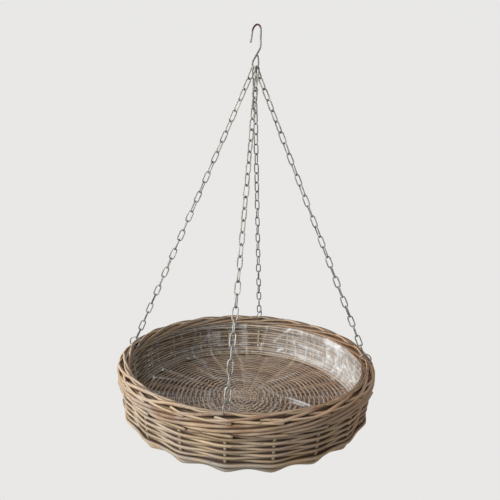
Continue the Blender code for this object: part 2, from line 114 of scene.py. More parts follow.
class WireSizes(bpy.types.PropertyGroup):
    hook_wire: length("Hook wire", 0.0026, "Thickness of the hook's wire")
    crown_width: length("Crown width", 0.0205, "Width of the hook's crown between wire centres")
    tip_depth: length("Tip depth", 0.0220, "How far the hook's tip reaches down from its crown")
    tip_flare: length("Tip flare", 0.0030, "How far the tip stands out from the crown's side")
    shank_depth: length("Shank depth", 0.0325, "Depth at which the straight side starts to slant")
    throat_depth: length("Throat depth", 0.0410, "Depth at which the wire passes its own end")
    throat_offset: length("Throat offset", 0.0024, "How far the throat lies beside the middle")
    shoulder_depth: length("Eye shoulder depth", 0.0500, "Depth of the eye's shoulders")
    eye_depth: length("Eye depth", 0.0598, "Depth of the wire centre at the eye's foot")
    eye_half_width: length("Eye half width", 0.006575, "Half of the eye's width between wire centres")
    eye_corner: length("Eye corner", 0.0026, "Radius of the eye's lower corners")
    chain_wire: length("Chain wire", 0.0020, "Thickness of the links' wire")
    link_pitch: length("Link pitch", 0.01675, "Distance from one link to the next")
    link_width: length("Link width", 0.0093, "Width of a link over its wire")
    link_count: count("Links", 28, 3, "Links in a strand")
    link_roll: angular("Link roll", math.radians(13), "How far links hang turned from a regular chain")
    ring_wire: length("Ring wire", 0.0020, "Thickness of the rings' wire")
    ring_outer: length("Ring width", 0.0190, "Outside width of a ring")
    ring_opening: length("Ring opening", 0.0003, "Gap between the two ends of a ring's wire")


class WeaveSizes(bpy.types.PropertyGroup):
    stakes: count("Stakes", 20, 4, "Upright stakes round the basket")
    stake: length("Stake", 0.0045, "Thickness of a stake")
    stake_outset: length("Stake outset", 0.0063, "How far the stakes stand outside the rim rod at its level")
    stake_lean: angular("Stake lean", math.radians(6.8), "How far the stakes lean outwards")
    stake_bend: length("Stake bend", 0.0140, "Radius of the stakes' bend at the foot")
    stake_top: length("Stake top", 0.0100, "How far the stakes reach up into the border")
    stake_run: length("Stake run", 0.0140, "How far a stake runs on under the base after its bend")
    rows: count("Rows", 9, 1, "Rods woven round the stakes")
    rod: length("Wall rod", 0.0044, "Thickness of the rods of the wall")
    reach: length("Wall reach", 0.0022, "How far the middle of a wall rod passes from the weave's middle")
    outset: length("Wall outset", 0.0010, "How far the weave's middle lies outside the stakes' line")
    hidden_rows: count("Rows in the border", 3, 0, "Rows that go on inside the border")
    stake_give: length("Stake give", 0.0018, "How far the rods push a stake in and out")
    # The dark strands are painted shade deep in the weave.
    shade_strand: length("Shade_strand", 0.0030, "Thickness of the dark strands that close the weave between two rows")
    foot_shade_strand: length("Foot bast", 0.0036, "Thickness of the dark strand at the wall's foot")
    border_inset: length("Weave inset", 0.0035, "How far the rows in the border lie inside the stakes' line")
    foot_rod: length("Foot rod", 0.0055, "Thickness of the two rods round the foot")
    wall_scallop: length("Wall scallop", 0.0024, "How far the lowest wall rod draws in between two stakes")
    foot_scallop: length("Foot scallop", 0.0048, "How far the foot rods draw in between two stakes")
    foot_rise: length("Foot rise", 0.0026, "How far the lower foot rod rises between two stakes")
    unevenness: length("Unevenness", 0.0009, "How far a rod strays from an even weave")
    depth: length("Basket depth", 0.0787, "From the rim rod down to the middle of the base")


class BaseSizes(bpy.types.PropertyGroup):
    stick: length("Base stick", 0.0045, "Thickness of the base sticks")
    rod: length("Base rod", 0.0041, "Thickness of the rods woven round the base sticks")
    wave: length("Base wave", 0.0024, "How far the rods pass above and below the sticks' middle")
    rows: count("Base rows", 37, 2, "Rows of rods round the base sticks")
    # The base's dark strands are painted shade deep in the weave.
    shade_strand: length("Base bast", 0.0026, "Thickness of the dark strands that close the base between two rows")
    edge_shade_strand: length("Edge bast", 0.0042, "Thickness of the dark strand round the base's edge")
    edge: length("Base edge", 0.0010, "How far the sticks reach past the start of the stakes' bend")
    unevenness: length("Base unevenness", 0.0010, "How far a rod strays from an even ring")
    eye: length("Base eye", 0.0360, "Radius at which the spokes are spread evenly")
    middle_rows: count("Middle rows", 7, 0, "Rows inside the eye")
    cross_half: length("Cross half", 0.0200, "Half of the length over which the sticks lie side by side")
    cross_rise: length("Cross rise", 0.0012, "How much higher the rods lie over the crossing")
    spacing: length("Stick spacing", 0.0070, "Distance between sticks in the crossing")
    offset: length("Stick offset", 0.0065, "How far a spoke lies beside its stake")


class BorderSizes(bpy.types.PropertyGroup):
    rod: length("Border rod", 0.0055, "Thickness of the rods of the border")
    tip: length("Border tip", 0.0042, "Thickness of the rods' cut tips")
    core: length("Border core", 0.0058, "Thickness of the rods inside the border")
    rim_rod: length("Rim rod", 0.0040, "Thickness of the rod on which the rings hang")
    rim_dip: length("Rim dip", 0.0030, "How far the rim rod dips under each crossing rod")
    jitter: length("Jitter", 0.0005, "How far a border rod strays from its even route")


class FilmSizes(bpy.types.PropertyGroup):
    pleats: count("Pleats", 30, 0, "Upright folds round the wall")
    pleat_height: length("Pleat height", 0.0045, "How far the largest folds stand off the wall")
    wrinkle: length("Wrinkle", 0.0016, "Height of the small wrinkles")
    billow: length("Billow", 0.0030, "Height of the wide waves")
    corner: length("Corner", 0.0180, "Radius of the film's lower corner")
    inset: length("Inset", 0.0048, "How far inside the stakes' line the film lies")
    top_inset: length("Top inset", 0.0032, "How much farther inside it lies behind the border")
    top_drop: length("Top drop", 0.0095, "How far its top edge lies below the border's top")
    # clear_tint shows in the thin haze and in the painted sheen on the right inner wall; the milky tint along the
    # folds is partly painted glints.
    clear_tint: colour("Clear film", (0.57, 0.585, 0.59), "The film's thin haze where it lies smooth")
    milky_and_glint_tint: colour("Milky film", (0.82, 0.83, 0.84), "The film along its folds")


class RattanColours(bpy.types.PropertyGroup):
    light: colour("Light rattan", (0.66, 0.51, 0.335), "The lightest skin")
    dark: colour("Dark rattan", (0.29, 0.195, 0.11), "The darkest skin")
    wash: colour("Grey wash", (0.46, 0.39, 0.32), "The thin grey wash on the skin")
    warm: colour("Warm rattan", (0.68, 0.51, 0.34), "The skin of the border's rods")
    bark: colour("Bark", (0.17, 0.085, 0.045), "Brown bark left on the border's rods")
    pith: colour("Pith", (0.72, 0.60, 0.44), "The cut ends")
    foot_wash: colour("Foot wash", (0.38, 0.35, 0.31), "The grey wash on the foot rods")
    base_light: colour("Light base", (0.41, 0.305, 0.21), "The lightest skin of the base's rods")
    base_dark: colour("Dark base", (0.16, 0.10, 0.065), "The darkest skin of the base's rods")
    base_wash: colour("Base wash", (0.30, 0.25, 0.21), "The wash on the base's rods")
    scar: colour("Leaf scars", (0.10, 0.06, 0.035), "The scars that leaves left on the skin")
    # Painted shade on the rods' flanks and all over the dark strands.
    seam: colour("Seams", (0.050, 0.029, 0.019), "The shade between rods that lie close")
    # Painted shade: the basket's right side turns darker and redder.
    right_side_shade: colour("Warm side", (1.0, 0.84, 0.72), "What the skin is multiplied by at the basket's right side")


class ZincColours(bpy.types.PropertyGroup):
    hook_bright: colour("Bright hook", (0.24, 0.225, 0.215), "The hook's bright spots")
    hook_dull: colour("Dull hook", (0.12, 0.11, 0.105), "The hook's dull spots")
    chain_bright: colour("Bright chain", (0.36, 0.355, 0.33), "The links' bright spots")
    chain_dull: colour("Dull chain", (0.15, 0.145, 0.135), "The links' dull spots")
    ring_bright: colour("Bright ring", (0.40, 0.39, 0.365), "The rings' bright spots")
    ring_dull: colour("Dull ring", (0.19, 0.185, 0.17), "The rings' dull spots")
    tint: colour("Crown tint", (0.055, 0.018, 0.013), "The brown tint on the hook's crown")
    tint_depth: length("Tint depth", 0.0040, "How far down from its seat the hook's crown is tinted")


class StudioSettings(bpy.types.PropertyGroup):
    camera_place: FloatVectorProperty(name="Camera place", description="Where the camera stands",
                                      default=(0.08662, -0.71181, -0.20337), subtype="XYZ", unit="LENGTH")
    camera_yaw: angular("Yaw", 0.12092, "Turn of the camera from looking along +Y")
    camera_pitch: angular("Pitch", -0.17271, "Tilt of the camera above level")
    camera_roll: angular("Roll", 0.03, "Roll of the camera")
    camera_lens: FloatProperty(name="Lens", description="Focal length on a 36 mm sensor", default=33.55,
                               subtype="DISTANCE_CAMERA", unit="CAMERA")
    backdrop: colour("Backdrop", (0.812, 0.805, 0.791), "Colour of the floor and backdrop")
    floor_drop: length("Floor drop", 1.4, "How far the floor lies below the basket")
    key_power: power("Key", 42, "Power of the key light")
    fill_power: power("Fill", 5.5, "Power of the fill light")
    top_power: power("Top", 9, "Power of the top light")
    world_strength: FloatProperty(name="World", description="Strength of the even light", default=0.22, min=0)


GROUPS = {"basket_wire": WireSizes, "basket_weave": WeaveSizes, "basket_base": BaseSizes,
          "basket_border": BorderSizes, "basket_film": FilmSizes, "basket_rattan": RattanColours,
          "basket_zinc": ZincColours, "basket_studio": StudioSettings}


class BasketPlan:
    """Radii and levels of the basket, worked out from its frame and its weave sizes."""

    def __init__(self, weave):
        self.weave = weave
        self.rim_level = (RIM_LOW.z + RIM_HIGH.z) / 2
        self.rim_radius = RIM_HIGH.x - (RIM_HIGH.z - RIM_LOW.z) / 2
        self.border_top = BORDER_HIGH.z
        self.border_bottom = BORDER_LOW.z
        self.border_middle = BORDER_HIGH.x - BORDER_WIDTH / 2
        self.wall_top = WALL_HIGH.z
        self.wall_bottom = WALL_LOW.z
        self.base_level = self.rim_level - weave.depth
        self.slope = math.tan(weave.stake_lean)
        self.pitch = 2 * math.pi / weave.stakes
        self.bend_level = self.base_level + weave.stake_bend
        self.bend_angle = math.pi / 2 - weave.stake_lean
        self.bend_radius = self.stake_radius(self.base_level) - weave.stake_bend * math.tan(self.bend_angle / 2)
        self.foot_reach = weave.stake_bend + weave.stake / 2 + CLEARANCE + weave.foot_rod / 2

    def stake_radius(self, level):
        return self.rim_radius + self.weave.stake_outset + (level - self.border_top) * self.slope

    def on_bend(self, reach, degrees):
        """Radius and level of a place round the stakes' bend, so many degrees below its start."""
        angle = math.radians(degrees)
        return self.bend_radius + reach * math.cos(angle), self.bend_level - reach * math.sin(angle)


def round_vector(turn):
    return Vector((math.cos(turn), math.sin(turn), 0))


def spot_at(turn, radius, level):
    return round_vector(turn) * radius + UP * level


def clamped(value):
    return min(1.0, max(0.0, value))


def basket_parts():
    """The sizes of the weave, and the plan that follows from them."""
    weave = bpy.context.scene.basket_weave
    return weave, BasketPlan(weave)


def smooth_route(corners, steps):
    """Points of a smooth curve through the corners, with the same number of steps between each two."""
    points = []
    for index in range(len(corners) - 1):
        first, second = corners[index], corners[index + 1]
        before = corners[index - 1] if index else 2 * first - second
        after = corners[index + 2] if index + 2 < len(corners) else 2 * second - first
        for step in range(steps):
            part = step / steps
            points.append(0.5 * (2 * first + (second - before) * part
                                 + (2 * before - 5 * first + 4 * second - after) * part ** 2
                                 + (3 * first - before - 3 * second + after) * part ** 3))
    points.append(corners[-1])
    return points


def route_frames(route, radii, facing, closed):
    """A matrix at each point of a route: Z along it, X towards its facing, scaled to the rod's radius."""
    frames = []
    for index, point in enumerate(route):
        if closed:
            before, after = route[index - 1], route[(index + 1) % len(route)]
        else:
            before, after = route[max(index - 1, 0)], route[min(index + 1, len(route) - 1)]
        along = (after - before).normalized()
        side = (facing[index] - along * facing[index].dot(along)).normalized()
        matrix = Matrix((side, along.cross(side), along)).transposed().to_4x4()
        matrix.translation = point
        frames.append(matrix @ Matrix.Diagonal((radii[index], radii[index], radii[index], 1)))
    return frames


def new_piece():
    """An empty bmesh with the layers that the rod materials read."""
    work = bmesh.new()
    work.verts.layers.float_vector.new("rod_space")
    for name in ("tone", "cut", "flank"):
        work.verts.layers.float.new(name)
    return work


# The cut end of a rod is this share of its thickness, and stands out by this share of its radius
END_NARROW, END_OUT = 0.72, 0.3


def sweep(route, radii, facing, closed=False, sides=8, tone=0.5, start=0.0, seams=(0.0, 1.0)):
    """A rod as a bmesh: a circle extruded from frame to frame, with eased, closed ends if it is open."""
    work = new_piece()
    space = work.verts.layers.float_vector["rod_space"]
    shade, cut, flank = (work.verts.layers.float[name] for name in ("tone", "cut", "flank"))
    frames = route_frames(route, radii, facing, closed)
    marks = [0.0]
    for first, second in zip(route, route[1:]):
        marks.append(marks[-1] + (second - first).length)
    cuts = [0] * len(frames)
    if closed:
        whole = marks[-1] + (route[0] - route[-1]).length
        marks = [min(mark, whole - mark) for mark in marks] + [0.0]
        frames.append(frames[0])
        cuts.append(0)
    else:
        ease = Matrix.Diagonal((END_NARROW, END_NARROW, 1, 1))
        frames = ([frames[0] @ Matrix.Translation((0, 0, -END_OUT)) @ ease] + frames
                  + [frames[-1] @ Matrix.Translation((0, 0, END_OUT)) @ ease])
        marks = [marks[0]] + marks + [marks[-1]]
        cuts = [1] + cuts + [1]
    bmesh.ops.create_circle(work, cap_ends=not closed, segments=sides, radius=1, matrix=frames[0])
    edges = list(work.edges)
    verts = list(work.verts)
    for index, matrix in enumerate(frames):
        if index:
            grown = bmesh.ops.extrude_edge_only(work, edges=edges)["geom"]
            verts = [item for item in grown if isinstance(item, bmesh.types.BMVert)]
            edges = [item for item in grown if isinstance(item, bmesh.types.BMEdge)]
            bmesh.ops.transform(work, matrix=matrix @ frames[index - 1].inverted(), verts=verts)
        back = matrix.inverted()
        size = matrix.to_scale().x
        for vert in verts:
            spot = back @ vert.co
            vert[space] = (start + marks[index], spot.x * size, spot.y * size)
            vert[shade] = tone
            vert[cut] = cuts[index]
            # Painted shade: how far towards the flanks across its facing the rod is darkened, where rods lie close.
            vert[flank] = seams[0] + (seams[1] - seams[0]) * abs(spot.y)
    if closed:
        bmesh.ops.remove_doubles(work, verts=work.verts, dist=radii[0] * 0.01)
    else:
        bmesh.ops.contextual_create(work, geom=edges)
    bmesh.ops.recalc_face_normals(work, faces=work.faces)
    for face in work.faces:
        face.smooth = True
    return work


def even_rod(route, thickness, facing, **looks):
    """A rod of one thickness that faces one way."""
    return sweep(route, [thickness / 2] * len(route), [facing] * len(route), **looks)


def gather(piece, work, matrices=(Matrix.Identity(4),), tones=None):
    """Put a copy of a rod into a piece at each place, and free the rod."""
    mesh = bpy.data.meshes.new("rod")
    work.to_mesh(mesh)
    work.free()
    shade = piece.verts.layers.float["tone"]
    space = piece.verts.layers.float_vector["rod_space"]
    for index, matrix in enumerate(matrices):
        first = len(piece.verts)
        piece.from_mesh(mesh)
        piece.verts.ensure_lookup_table()
        verts = piece.verts[first:]
        bmesh.ops.transform(piece, matrix=matrix, verts=verts)
        if tones:
            for vert in verts:
                vert[shade] = tones[index]
                vert[space] = vert[space] + Vector((tones[index] * 5, 0, 0))
    bpy.data.meshes.remove(mesh)


def add_object(name, data):
    item = bpy.data.objects.new(name, data)
    bpy.context.scene.collection.objects.link(item)
    return item


def mesh_object(name, work, material):
    """An object of a bmesh, which is freed, in one material."""
    mesh = bpy.data.meshes.new(name)
    work.to_mesh(mesh)
    work.free()
    mesh.materials.append(material)
    return add_object(name, mesh)


def finish_piece(name, work, material, body, nodes):
    """Make the object of a finished piece, at the origin, riding on its body."""
    item = mesh_object(name, work, material)
    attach(item, body)
    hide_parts(*nodes)
    return item


class Shades:
    """Adds nodes to one shader tree; most calls give the socket that the new node puts out."""

    def __init__(self, tree):
        self.tree = tree

    def feed(self, socket, value):
        if isinstance(value, bpy.types.NodeSocket):
            self.tree.links.new(value, socket)
        else:
            socket.default_value = value

    def node(self, kind, values=None, **settings):
        node = self.tree.nodes.new(kind)
        for key, value in settings.items():
            setattr(node, key, value)
        for key, value in (values or {}).items():
            self.feed(node.inputs[key], value)
        return node

    def math(self, operation, first, second=0.0, clamp=False):
        return self.node("ShaderNodeMath", {0: first, 1: second}, operation=operation, use_clamp=clamp).outputs[0]

    def plus(self, first, second, clamp=False):
        return self.math("ADD", first, second, clamp)

    def times(self, first, second, clamp=False):
        return self.math("MULTIPLY", first, second, clamp)

    def mix(self, factor, first, second, blend="MIX"):
        return self.node("ShaderNodeMix", {0: factor, 6: first, 7: second}, data_type="RGBA",
                         blend_type=blend).outputs[2]

    def mix_shaders(self, factor, first, second):
        return self.node("ShaderNodeMixShader", {0: factor, 1: first, 2: second}).outputs[0]

    def noise(self, vector, scale, detail=2.0, roughness=0.5):
        return self.node("ShaderNodeTexNoise", {"Vector": vector, "Scale": scale, "Detail": detail,
                                                "Roughness": roughness}).outputs[0]

    def span(self, value, low, high, to_low=0.0, to_high=1.0):
        return self.node("ShaderNodeMapRange", {"Value": value, "From Min": low, "From Max": high,
                                                "To Min": to_low, "To Max": to_high}).outputs[0]

    def attribute(self, name, output="Fac"):
        return self.node("ShaderNodeAttribute", attribute_name=name).outputs[output]

    def place(self):
        return self.node("ShaderNodeTexCoord").outputs["Object"]

    def part(self, vector, index):
        return self.node("ShaderNodeSeparateXYZ", {0: vector}).outputs[index]

    def stretch(self, vector, scale):
        return self.node("ShaderNodeMapping", {"Vector": vector, "Scale": scale}).outputs[0]

    def bump(self, height, strength, distance):
        return self.node("ShaderNodeBump", {"Height": height, "Strength": strength, "Distance": distance}).outputs[0]

    def principled(self, **values):
        """A Principled shader; a socket's name is written with _ for each space."""
        return self.node("ShaderNodeBsdfPrincipled",
                         {name.replace("_", " "): value for name, value in values.items()}).outputs[0]


def rattan_skin(shades, given):
    """Skin of a rod: long fibres, patches, leaf scars, a thin grey wash, painted shade on its flanks where rods lie
    close and towards the basket's right side, and pale cut ends.
    """
    colours = bpy.context.scene.basket_rattan
    tone = shades.attribute("tone")
    place = shades.place()
    shift = shades.node("ShaderNodeCombineXYZ", {0: shades.times(tone, 4.0)}).outputs[0]
    own = shades.node("ShaderNodeVectorMath", {0: shades.attribute("rod_space", "Vector"), 1: shift},
                      operation="ADD").outputs[0]

    def drawn_out(along, across, detail, roughness=0.5):
        return shades.noise(shades.stretch(own, (along, across, across)), 1.0, detail, roughness)

    fibre = drawn_out(70, 1500, 3.0)
    patch = drawn_out(17, 140, 3.0, 0.6)
    scars = shades.span(drawn_out(90, 260, 2.0), 0.66, 0.74)
    clouds = shades.span(shades.noise(place, 24.0, 4.0, 0.6), 0.40, 0.62)
    uneven = shades.times(shades.math("SUBTRACT", patch, 0.5), shades.times(given["Contrast"], 1.9))
    blend = shades.plus(uneven, shades.plus(shades.times(tone, 0.62), 0.22), clamp=True)
    skin = shades.mix(blend, given["Dark"], given["Light"])
    skin = shades.mix(shades.times(clouds, given["Wash Amount"]), skin, given["Wash"])
    skin = shades.node("ShaderNodeVectorMath", {0: skin, "Scale": shades.span(fibre, 0.3, 0.7, 0.80, 1.12)},
                       operation="SCALE").outputs[0]
    skin = shades.mix(shades.times(scars, 0.55), skin, colours.scar)
    # Painted shade: the skin turns darker and redder towards the basket's right side.
    skin = shades.mix(shades.span(shades.part(place, 0), 0.0, 0.19), skin, colours.right_side_shade, "MULTIPLY")
    # Painted shade on the flanks where rods lie close, and all over the dark strands.
    flank = shades.span(shades.attribute("flank"), 0.55, 0.98)
    skin = shades.mix(shades.times(flank, given["Seam"]), skin, colours.seam)
    skin = shades.mix(shades.attribute("cut"), skin, given["Pith"])
    return skin, shades.span(patch, 0.3, 0.7, 0.50, 0.72), shades.plus(fibre, shades.times(patch, 1.5))


def zinc_skin(shades, given):
    """Dull zinc on drawn wire: mottled grey, with a little uneven shine."""
    place = shades.place()
    spots = shades.noise(place, 300.0, 3.0)
    blend = shades.span(shades.plus(spots, shades.noise(place, 60.0)), 0.75, 1.25)
    return shades.mix(blend, given["Dull"], given["Bright"]), shades.span(spots, 0.3, 0.7, 0.40, 0.60), spots


# The shared skins: what fills each group, and its inputs with their defaults
SKINS = {
    "rattan_skin": (rattan_skin, {
        "Light": (0.6, 0.48, 0.33, 1), "Dark": (0.3, 0.2, 0.12, 1), "Wash": (0.47, 0.42, 0.36, 1),
        "Pith": (0.7, 0.6, 0.44, 1), "Wash Amount": 0.5, "Contrast": 1.0, "Seam": 0.7}),
    "zinc_skin": (zinc_skin, {"Bright": (0.5, 0.5, 0.48, 1), "Dull": (0.3, 0.3, 0.29, 1)})}


def skin_group(name):
    """The shader node group of a skin, which puts out colour, roughness and height."""
    if name not in bpy.data.node_groups:
        fill, inputs = SKINS[name]
        tree = bpy.data.node_groups.new(name, "ShaderNodeTree")
        for label, default in inputs.items():
            kind = "NodeSocketFloat" if isinstance(default, float) else "NodeSocketColor"
            tree.interface.new_socket(label, in_out="INPUT", socket_type=kind).default_value = default
        for label, kind in (("Colour", "Color"), ("Roughness", "Float"), ("Height", "Float")):
            tree.interface.new_socket(label, in_out="OUTPUT", socket_type="NodeSocket" + kind)
        given, made = tree.nodes.new("NodeGroupInput").outputs, tree.nodes.new("NodeGroupOutput").inputs
        for label, socket in zip(("Colour", "Roughness", "Height"), fill(Shades(tree), given)):
            tree.links.new(socket, made[label])
    return bpy.data.node_groups[name]


def material_of(name, shader):
    """The material of that name; the first time, shader adds its nodes and gives what its surface shows."""
    if name not in bpy.data.materials:
        material = bpy.data.materials.new(name)
        material.use_nodes = True
        material.node_tree.nodes.clear()
        shades = Shades(material.node_tree)
        shades.feed(shades.node("ShaderNodeOutputMaterial").inputs["Surface"], shader(shades))
    return bpy.data.materials[name]


# Light, dark and wash colours of each kind of rod, then how much wash it has and its contrast
RODS = {"weave": ("light", "dark", "wash", 0.60, 1.1), "foot": ("light", "dark", "foot_wash", 0.85, 1.0),
        "border": ("warm", "bark", "wash", 0.55, 1.2), "core": ("dark", "bark", "bark", 0.3, 1.0),
        "base": ("base_light", "base_dark", "base_wash", 0.5, 1.2)}


def rattan(kind):
    """Rattan with the colours of one kind of rod."""
    light, dark, wash, amount, contrast = RODS[kind]
    colours = bpy.context.scene.basket_rattan

    def shader(shades):
        skin = shades.node("ShaderNodeGroup", {
            "Light": getattr(colours, light), "Dark": getattr(colours, dark), "Wash": getattr(colours, wash),
            "Pith": colours.pith, "Wash Amount": amount, "Contrast": contrast, "Seam": 0.93},
            node_tree=skin_group("rattan_skin")).outputs
        return shades.principled(Base_Color=skin["Colour"], Roughness=skin["Roughness"],
                                 Normal=shades.bump(skin["Height"], 0.5, 0.0003), Specular_IOR_Level=0.35)

    return material_of("rattan_border_core" if kind == "core" else "rattan_%s_rods" % kind, shader)


def zinc(kind):
    """Zinc wire with its own colours, and on the hook a brown tint on the crown."""
    colours = bpy.context.scene.basket_zinc

    def shader(shades):
        skin = shades.node("ShaderNodeGroup", {
            "Bright": getattr(colours, kind + "_bright"), "Dull": getattr(colours, kind + "_dull")},
            node_tree=skin_group("zinc_skin")).outputs
        tone = skin["Colour"]
        if kind == "hook":
            place = shades.place()
            ragged = shades.plus(shades.part(place, 2), shades.times(shades.noise(place, 220.0), 0.006))
            crown = shades.span(ragged, -colours.tint_depth, 0.004 - colours.tint_depth)
            tone = shades.mix(crown, tone, colours.tint)
        return shades.principled(Base_Color=tone, Roughness=skin["Roughness"], Metallic=0.85,
                                 Normal=shades.bump(skin["Height"], 0.25, 0.0001))

    return material_of("zinc_%s_wire" % kind, shader)


def film_shader(shades):
    """Clear film: see-through but for its gloss, milky along its folds, where the white is partly painted glints, and
    hazy with painted sheen on the right inner wall; it lets the lamps through.
    """
    colours = bpy.context.scene.basket_film
    place = shades.place()
    streaks = shades.span(shades.noise(place, 42.0, 4.0, 0.6), 0.42, 0.62)
    # Milky along the folds: partly real whitening, partly painted glints.
    milk_and_glint = shades.times(shades.attribute("crease"), shades.span(streaks, 0.0, 1.0, 0.55, 1.0), clamp=True)
    swirl = shades.math("SUBTRACT", shades.noise(shades.stretch(place, (46, 46, 16)), 1.0, 2.0, 0.55), 0.5)
    threads = shades.span(shades.math("ABSOLUTE", swirl), 0.0, 0.022, 1.0, 0.0)
    # A thin haze on the walls, with painted sheen that grows towards the right inner wall; threads add pale streaks to
    # it.
    haze = shades.attribute("haze")
    haze_and_sheen_cover = shades.times(haze, shades.plus(shades.span(streaks, 0.0, 1.0, 0.38, 0.46),
                                           shades.times(threads, 0.24)))
    clear = shades.times(shades.plus(milk_and_glint, haze), 3.0)
    film = shades.principled(
        Base_Color=shades.mix(shades.plus(milk_and_glint, shades.times(threads, 0.4), clamp=True), colours.clear_tint,
                              colours.milky_and_glint_tint),
        Alpha=shades.plus(shades.plus(0.05, haze_and_sheen_cover), shades.times(milk_and_glint, 0.62), clamp=True),
        Metallic=shades.math("SUBTRACT", 1.0, clear, clamp=True), Roughness=0.24, Specular_IOR_Level=0.3,
        Normal=shades.bump(shades.noise(place, 130.0), 0.22, 0.0006))
    shadow = shades.node("ShaderNodeLightPath").outputs["Is Shadow Ray"]
    return shades.mix_shaders(shadow, film, shades.node("ShaderNodeBsdfTransparent").outputs[0])


class BASKET_OT_studio(bpy.types.Operator):
    """Set up the camera, the lamps, the even light, the floor and the backdrop"""
    bl_idname = "basket.studio"
    bl_label = "Studio"

    # Each lamp's place, width and tint; all of them face the basket
    LAMPS = {"key": ((-1.3, -0.95, 0.30), 1.1, (1.0, 0.985, 0.96)),
             "fill": ((1.3, -1.2, 0.1), 1.4, (0.96, 0.98, 1.0)),
             "top": ((-0.25, 0.15, 1.1), 0.7, (1.0, 0.99, 0.98))}
    AIM = Vector((0, 0, -0.50))
    FLOOR_HALF = 40

    def execute(self, context):
        studio = context.scene.basket_studio
        self.add_camera(context, studio)
        self.add_world(context, studio)
        self.add_lamps(studio)
        self.add_floor(studio)
        context.scene.view_settings.view_transform = "Standard"
        return {"FINISHED"}

    def add_camera(self, context, studio):
        yaw, pitch, roll = studio.camera_yaw, studio.camera_pitch, studio.camera_roll
        look = Vector((-math.sin(yaw) * math.cos(pitch), math.cos(yaw) * math.cos(pitch), math.sin(pitch)))
        right = look.cross(UP).normalized()
        above = right.cross(look)
        turned = right * math.cos(roll) + above * math.sin(roll)
        above = above * math.cos(roll) - right * math.sin(roll)
        data = bpy.data.cameras.new("photo_camera")
        data.lens = studio.camera_lens
        data.sensor_width = 36
        data.clip_start = 0.01
        camera = add_object("photo_camera", data)
        matrix = Matrix((turned, above, -look)).transposed().to_4x4()
        matrix.translation = studio.camera_place
        camera.matrix_world = matrix
        context.scene.camera = camera

    def seen(self, shades):
        """1 for a ray that shows the background: from the camera, a reflection or glass."""
        path = shades.node("ShaderNodeLightPath").outputs
        shown = shades.math("MAXIMUM", path["Is Camera Ray"], path["Is Glossy Ray"])
        return shades.math("MAXIMUM", shown, path["Is Transmission Ray"])

    def add_world(self, context, studio):
        world = bpy.data.worlds.new("studio_world")
        world.use_nodes = True
        world.node_tree.nodes.clear()
        shades = Shades(world.node_tree)
        strength = shades.span(self.seen(shades), 0, 1, studio.world_strength, 1.0)
        light = shades.node("ShaderNodeBackground", {"Color": studio.backdrop, "Strength": strength})
        shades.feed(shades.node("ShaderNodeOutputWorld").inputs["Surface"], light.outputs[0])
        context.scene.world = world

    def add_lamps(self, studio):
        for name, (place, width, tint) in self.LAMPS.items():
            data = bpy.data.lights.new(name + "_lamp", "AREA")
            data.shape = "DISK"
            data.size = width
            data.energy = getattr(studio, name + "_power")
            data.color = tint
            lamp = add_object(name + "_lamp", data)
            lamp.location = place
            lamp.rotation_euler = (self.AIM - lamp.location).to_track_quat("-Z", "Y").to_euler()

    def add_floor(self, studio):
        def paint(shades):
            matt = shades.node("ShaderNodeBsdfDiffuse", {"Color": studio.backdrop}).outputs[0]
            glow = shades.node("ShaderNodeEmission", {"Color": studio.backdrop, "Strength": 1.0}).outputs[0]
            away = shades.node("ShaderNodeVectorMath", {0: shades.place()}, operation="LENGTH").outputs[1]
            shown = shades.times(self.seen(shades), shades.span(away, 0.7, 2.0, 0.94, 1.0))
            return shades.mix_shaders(shown, matt, glow)

        work = bmesh.new()
        bmesh.ops.create_grid(work, x_segments=1, y_segments=1, size=self.FLOOR_HALF,
                              matrix=Matrix.Translation((0, 0, CAD_BOX[0].z - studio.floor_drop)))
        mesh_object("studio_floor", work, material_of("studio_floor_paint", paint))


def arc(centre, radius, start, stop, steps):
    """Points of an arc in the hook's plane, as (across, depth)."""
    points = []
    for step in range(steps + 1):
        angle = start + (stop - start) * step / steps
        points.append((centre[0] + radius * math.cos(angle), centre[1] - radius * math.sin(angle)))
    return points


class BASKET_OT_hook(bpy.types.Operator):
    """Bend the wire hook: tip, crown, shank, slanting throat and eye"""
    bl_idname = "basket.hook"
    bl_label = "Hook"

    def execute(self, context):
        wire = context.scene.basket_wire
        crown = wire.crown_width / 2
        foot = wire.eye_depth - wire.eye_corner
        side = wire.eye_half_width - wire.eye_corner
        shank = Vector((crown, wire.shank_depth))
        throat = Vector((wire.throat_offset, wire.throat_depth))
        slope = (throat - shank).normalized()
        wire_end = throat + Vector((slope.y, -slope.x)) * (wire.hook_wire + CLEARANCE)
        path = [(-crown - wire.tip_flare, wire.tip_depth), (-crown - wire.tip_flare / 3, crown + wire.tip_depth / 4)]
        path += arc((0, crown), crown, math.pi, 0, 12)
        path += [(crown, (crown + wire.shank_depth) / 2), tuple(shank), tuple(throat),
                 (-wire.eye_half_width, wire.shoulder_depth)]
        path += arc((-side, foot), wire.eye_corner, math.pi, 1.5 * math.pi, 4)
        path += arc((side, foot), wire.eye_corner, 1.5 * math.pi, 2 * math.pi, 4)
        path += [(wire.eye_half_width, wire.shoulder_depth), tuple(wire_end)]
        corners = [HOOK_AXIS * across + UP * (wire.hook_wire / 2 - depth) for across, depth in path]
        bent = even_rod(smooth_route(corners, 4), wire.hook_wire, HOOK_AXIS.cross(UP), sides=12)
        finish_piece("wire_hook", bent, zinc("hook"), "hook", ["hook"])
        return {"FINISHED"}


def joint_place(name):
    """Place and axis of a joint, as the frame has them."""
    for joint in frame["joints"]:
        if joint["name"] == name:
            return Vector(joint["pos_m"]), Vector(joint["axis"]).normalized()
    raise RuntimeError("the frame has no joint named " + name)


def strand_line(side, plan):
    """A strand's start in the hook's eye, and the way from there to its seat on the rim rod."""
    start, _ = joint_place("strand_%s_swing" % side)
    return start, OUTWARD[side] * plan.rim_radius + UP * plan.rim_level - start


